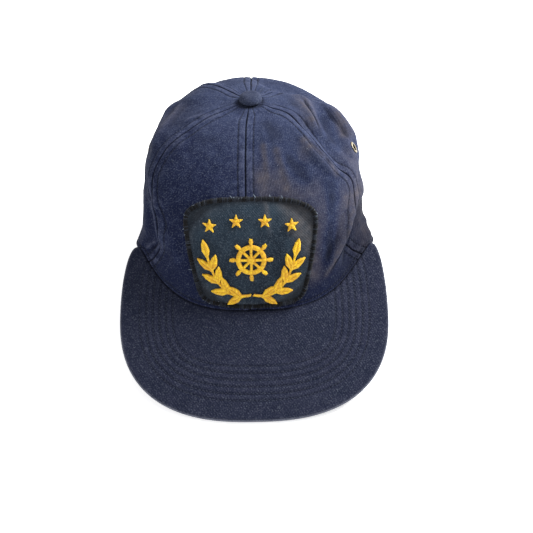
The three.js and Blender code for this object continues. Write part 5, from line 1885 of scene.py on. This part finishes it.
    def wheel(self) -> Array:
        """Strands of the ship's wheel: a rim, a hub and spokes that run on into handles."""
        centre = np.array([0.0, self.wheel_height])
        inner, outer = self.wheel_radius - self.wheel_rim / 2, self.wheel_radius + self.wheel_rim / 2
        turn = np.arange(0, 2 * math.pi, self.strand_pitch / self.wheel_radius)
        ray, ahead = (np.stack([np.cos(a), np.sin(a)], -1) for a in (turn, turn + 0.05))
        strands = [np.stack([centre + inner * ray, centre + outer * ahead], 1)]
        tip = outer + self.wheel_handle
        half = self.wheel_spoke / 2
        for i in range(self.wheel_spokes):
            angle = 2 * math.pi * i / self.wheel_spokes
            ray = np.array([math.cos(angle), math.sin(angle)])
            spoke = lambda at: np.full_like(at, half)
            strands.append(self.across_line(centre + ray * self.wheel_hub, centre + ray * inner, spoke, 0.25))
            knots = (0, 0.6, self.wheel_handle / 2, self.wheel_handle)
            widths = (half, half, 1.7 * half, 1.1 * half)
            shape = lambda at: np.interp(at, knots, widths)
            strands.append(self.across_line(centre + ray * outer, centre + ray * tip, shape, 0.25))
        hub = self.wheel_hub
        disc = lambda at: np.sqrt(np.maximum(hub**2 - (at - hub) ** 2, 0.2))
        strands.append(self.across_line(centre - [0, hub], centre + [0, hub], disc, 0.3))
        return np.concatenate(strands)

    def stem(self, side: int, t: Array) -> tuple[Array, Array]:
        """Places along a spray's stem and its headings there."""
        foot = np.array([side, self.spray_foot])
        bend = np.array([side * self.spray_reach * 0.75, self.spray_foot - self.spray_rise * 0.2])
        tip = np.array([side * self.spray_reach, self.spray_foot + self.spray_rise])
        t = np.asarray(t, float)[:, None]
        place = foot * (1 - t) ** 2 + 2 * bend * t * (1 - t) + tip * t * t
        return place, unit(2 * (bend - foot) * (1 - t) + 2 * (tip - bend) * t)

    def spray(self, side: int) -> Array:
        """Strands of one spray: a slim stem and leaves whose two halves slant away from a middle vein."""
        fine = np.linspace(0, 1, 200)
        length = running_length(self.stem(side, fine)[0])
        at_length = lambda share: np.interp(np.asarray(share) * length[-1], length, fine)
        shares = np.arange(0, 1, self.strand_pitch * 1.3 / length[-1])
        place, heading = self.stem(side, at_length(shares))
        out = np.stack([-heading[:, 1], heading[:, 0]], -1) * self.stem_width / 2
        strands = [np.stack([place - out - 0.4 * heading, place + out + 0.4 * heading], 1)]
        for i in range(1, self.leaf_pairs + 1):
            place, heading = self.stem(side, at_length([(i - 0.3) / self.leaf_pairs]))
            facing = math.atan2(heading[0, 1], heading[0, 0])
            spreads = (0.0,) if i == self.leaf_pairs else (-self.leaf_spread, self.leaf_spread)
            for spread in spreads:
                strands.append(self.leaf(place[0], facing + spread))
        return np.concatenate(strands)

    def leaf(self, root: Array, heading: float) -> Array:
        """Strands of one leaf."""
        half = self.leaf_width / 2
        along = np.array([math.cos(heading), math.sin(heading)])
        out = np.array([-along[1], along[0]])
        knots = np.array([-half / 2, 0.35 * self.leaf_length, 0.75 * self.leaf_length, self.leaf_length])
        widths = np.array([0.1, half, 0.7 * half, 0.1])
        vein = np.arange(-half / 2, self.leaf_length - 0.8, self.strand_pitch)
        reach = np.minimum(vein + 1.5, self.leaf_length)
        wide = np.interp(reach, knots, widths)
        start = root + vein[:, None] * along
        halves = [
            np.stack([start + s * 0.1 * out, root + reach[:, None] * along + s * wide[:, None] * out], 1)
            for s in (-1, 1)
        ]
        return np.concatenate(halves)

    def build_design(self) -> None:
        """Makes every part of the design as strands over a padded core."""
        parts = {
            f"badge_star_{k + 1}": self.star(x * self.top_half_width, v * self.height)
            for k, (x, v) in enumerate(self.stars)
        }
        parts["badge_wheel"] = self.wheel()
        parts["badge_spray_left"] = self.spray(1)
        parts["badge_spray_right"] = self.spray(-1)
        tree = satin_tree()
        for node, strands in parts.items():
            runs = self.strand_runs(strands)
            source = path_object("strands", runs, self.random.uniform(0, 1, len(runs)))
            sizes = {"Thickness": self.strand * MM, "Thread": self.finishes.gold_thread}
            piece = tree.grow(f"{node}_satin", source, sizes)
            self.add_core(piece, node)
            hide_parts(node)
            self.pieces.append(piece)

    def strand_runs(self, strands: Array) -> list[ThreadRun]:
        """Strands as lines over the badge, each arched, with its ends sunk into the twill."""
        t = np.array([0.0, 0.1, 0.3, 0.5, 0.7, 0.9, 1.0])
        wobble = self.random.uniform(-0.07, 0.07, (len(strands), 2, 1, 2))
        ends = strands[:, :, None, :] + wobble
        flat = ends[:, 0] + (ends[:, 1] - ends[:, 0]) * t[:, None]
        arch = np.array([-1.0, 0.05, 0.75, 1.0, 0.75, 0.05, -1.0]) * self.strand_crown
        lift = self.design_lift + np.where(arch < 0, -0.9, arch)
        lift = lift + self.random.uniform(-0.08, 0.08, (len(strands), 1))
        points = self.wrap(flat.reshape(-1, 2), lift.ravel()).reshape(len(strands), len(t), 3)
        normals = np.broadcast_to([0.0, -1.0, 0.0], points.shape)
        return [ThreadRun(p, n) for p, n in zip(points, normals)]

    def add_core(self, piece: bpy.types.Object, node: str) -> None:
        """Joins a copy of the CAD node's mesh to its strands, as the padding under them."""
        core = new_object("core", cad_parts[node].data.copy())
        core.data.materials.clear()
        core.data.materials.append(self.finishes.gold_thread)
        merge_doubles(core)
        both = [piece, core]
        context = {"active_object": piece, "object": piece, "selected_objects": both}
        with bpy.context.temp_override(**context, selected_editable_objects=both):
            bpy.ops.object.join()


@dataclass(frozen=True)
class Studio:
    """Plain pale floor, soft light and a camera at the photograph's angle."""

    target: tuple[float, float, float] = (9.5, -58.0, 55.0)
    elevation: float = 42.0
    distance: float = 600.0
    roll: float = -1.05
    lens: float = 55.16
    sensor: float = 36.0
    floor_half: float = 3.0
    floor_drop: float = 0.0004

    def build(self) -> None:
        """Makes the floor, the lights and the camera."""
        half = self.floor_half
        mesh = bpy.data.meshes.new("floor")
        corners = ((-half, -half), (half, -half), (half, half), (-half, half))
        mesh.from_pydata([(x, y, -self.floor_drop) for x, y in corners], [], [(0, 1, 2, 3)])
        mesh.materials.append(MattPaper().build())
        floor = new_object("floor", mesh)
        self.build_world()
        self.add_light("key", (0.95, 0.4, 1.05), 0.6, 44.0)
        self.add_light("fill", (-0.9, -0.8, 1.1), 1.2, 5.0)
        self.add_camera()

    @staticmethod
    def build_world() -> None:
        """Lights the room evenly."""
        world = bpy.data.worlds.new("studio")
        bpy.context.scene.world = world
        world.use_nodes = True
        background = world.node_tree.nodes["Background"]
        background.inputs["Color"].default_value = linear("#ffffff")
        background.inputs["Strength"].default_value = 0.6
        bpy.context.scene.view_settings.view_transform = "Standard"

    @staticmethod
    def add_light(name: str, place: tuple[float, float, float], size: float, watts: float) -> None:
        """Adds a soft square light that faces the cap."""
        light = bpy.data.lights.new(name, "AREA")
        light.size, light.energy = size, watts
        lamp = new_object(name, light)
        lamp.location = place
        lamp.rotation_euler = (Vector((0, 0, 0.06)) - Vector(place)).to_track_quat("-Z", "Y").to_euler()

    def add_camera(self) -> None:
        """Adds the camera and makes it the scene's own."""
        angle = math.radians(self.elevation)
        back = np.array([0.0, -math.cos(angle), math.sin(angle)])
        camera = new_object("camera", bpy.data.cameras.new("camera"))
        camera.data.lens, camera.data.sensor_width = self.lens, self.sensor
        camera.location = in_frame(np.array(self.target) + self.distance * back)
        tilt = Matrix.Rotation(math.pi / 2 - angle, 3, "X") @ Matrix.Rotation(math.radians(self.roll), 3, "Z")
        camera.rotation_euler = tilt.to_euler()
        bpy.context.scene.camera = camera


def main() -> None:
    """Builds the cap round its frame and says what was made."""
    logging.basicConfig(level=logging.INFO, format="%(message)s")
    finishes = Finishes()
    for part in (Visor(finishes), Crown(finishes), Fittings(finishes), Badge(finishes)):
        part.build()
        for piece in part.pieces:
            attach(piece, "root")
            piece.data.calc_loop_triangles()
            log.info("%s: %d triangles", piece.name, len(piece.data.loop_triangles))
    Studio().build()


if __name__ == "__main__":
    main()
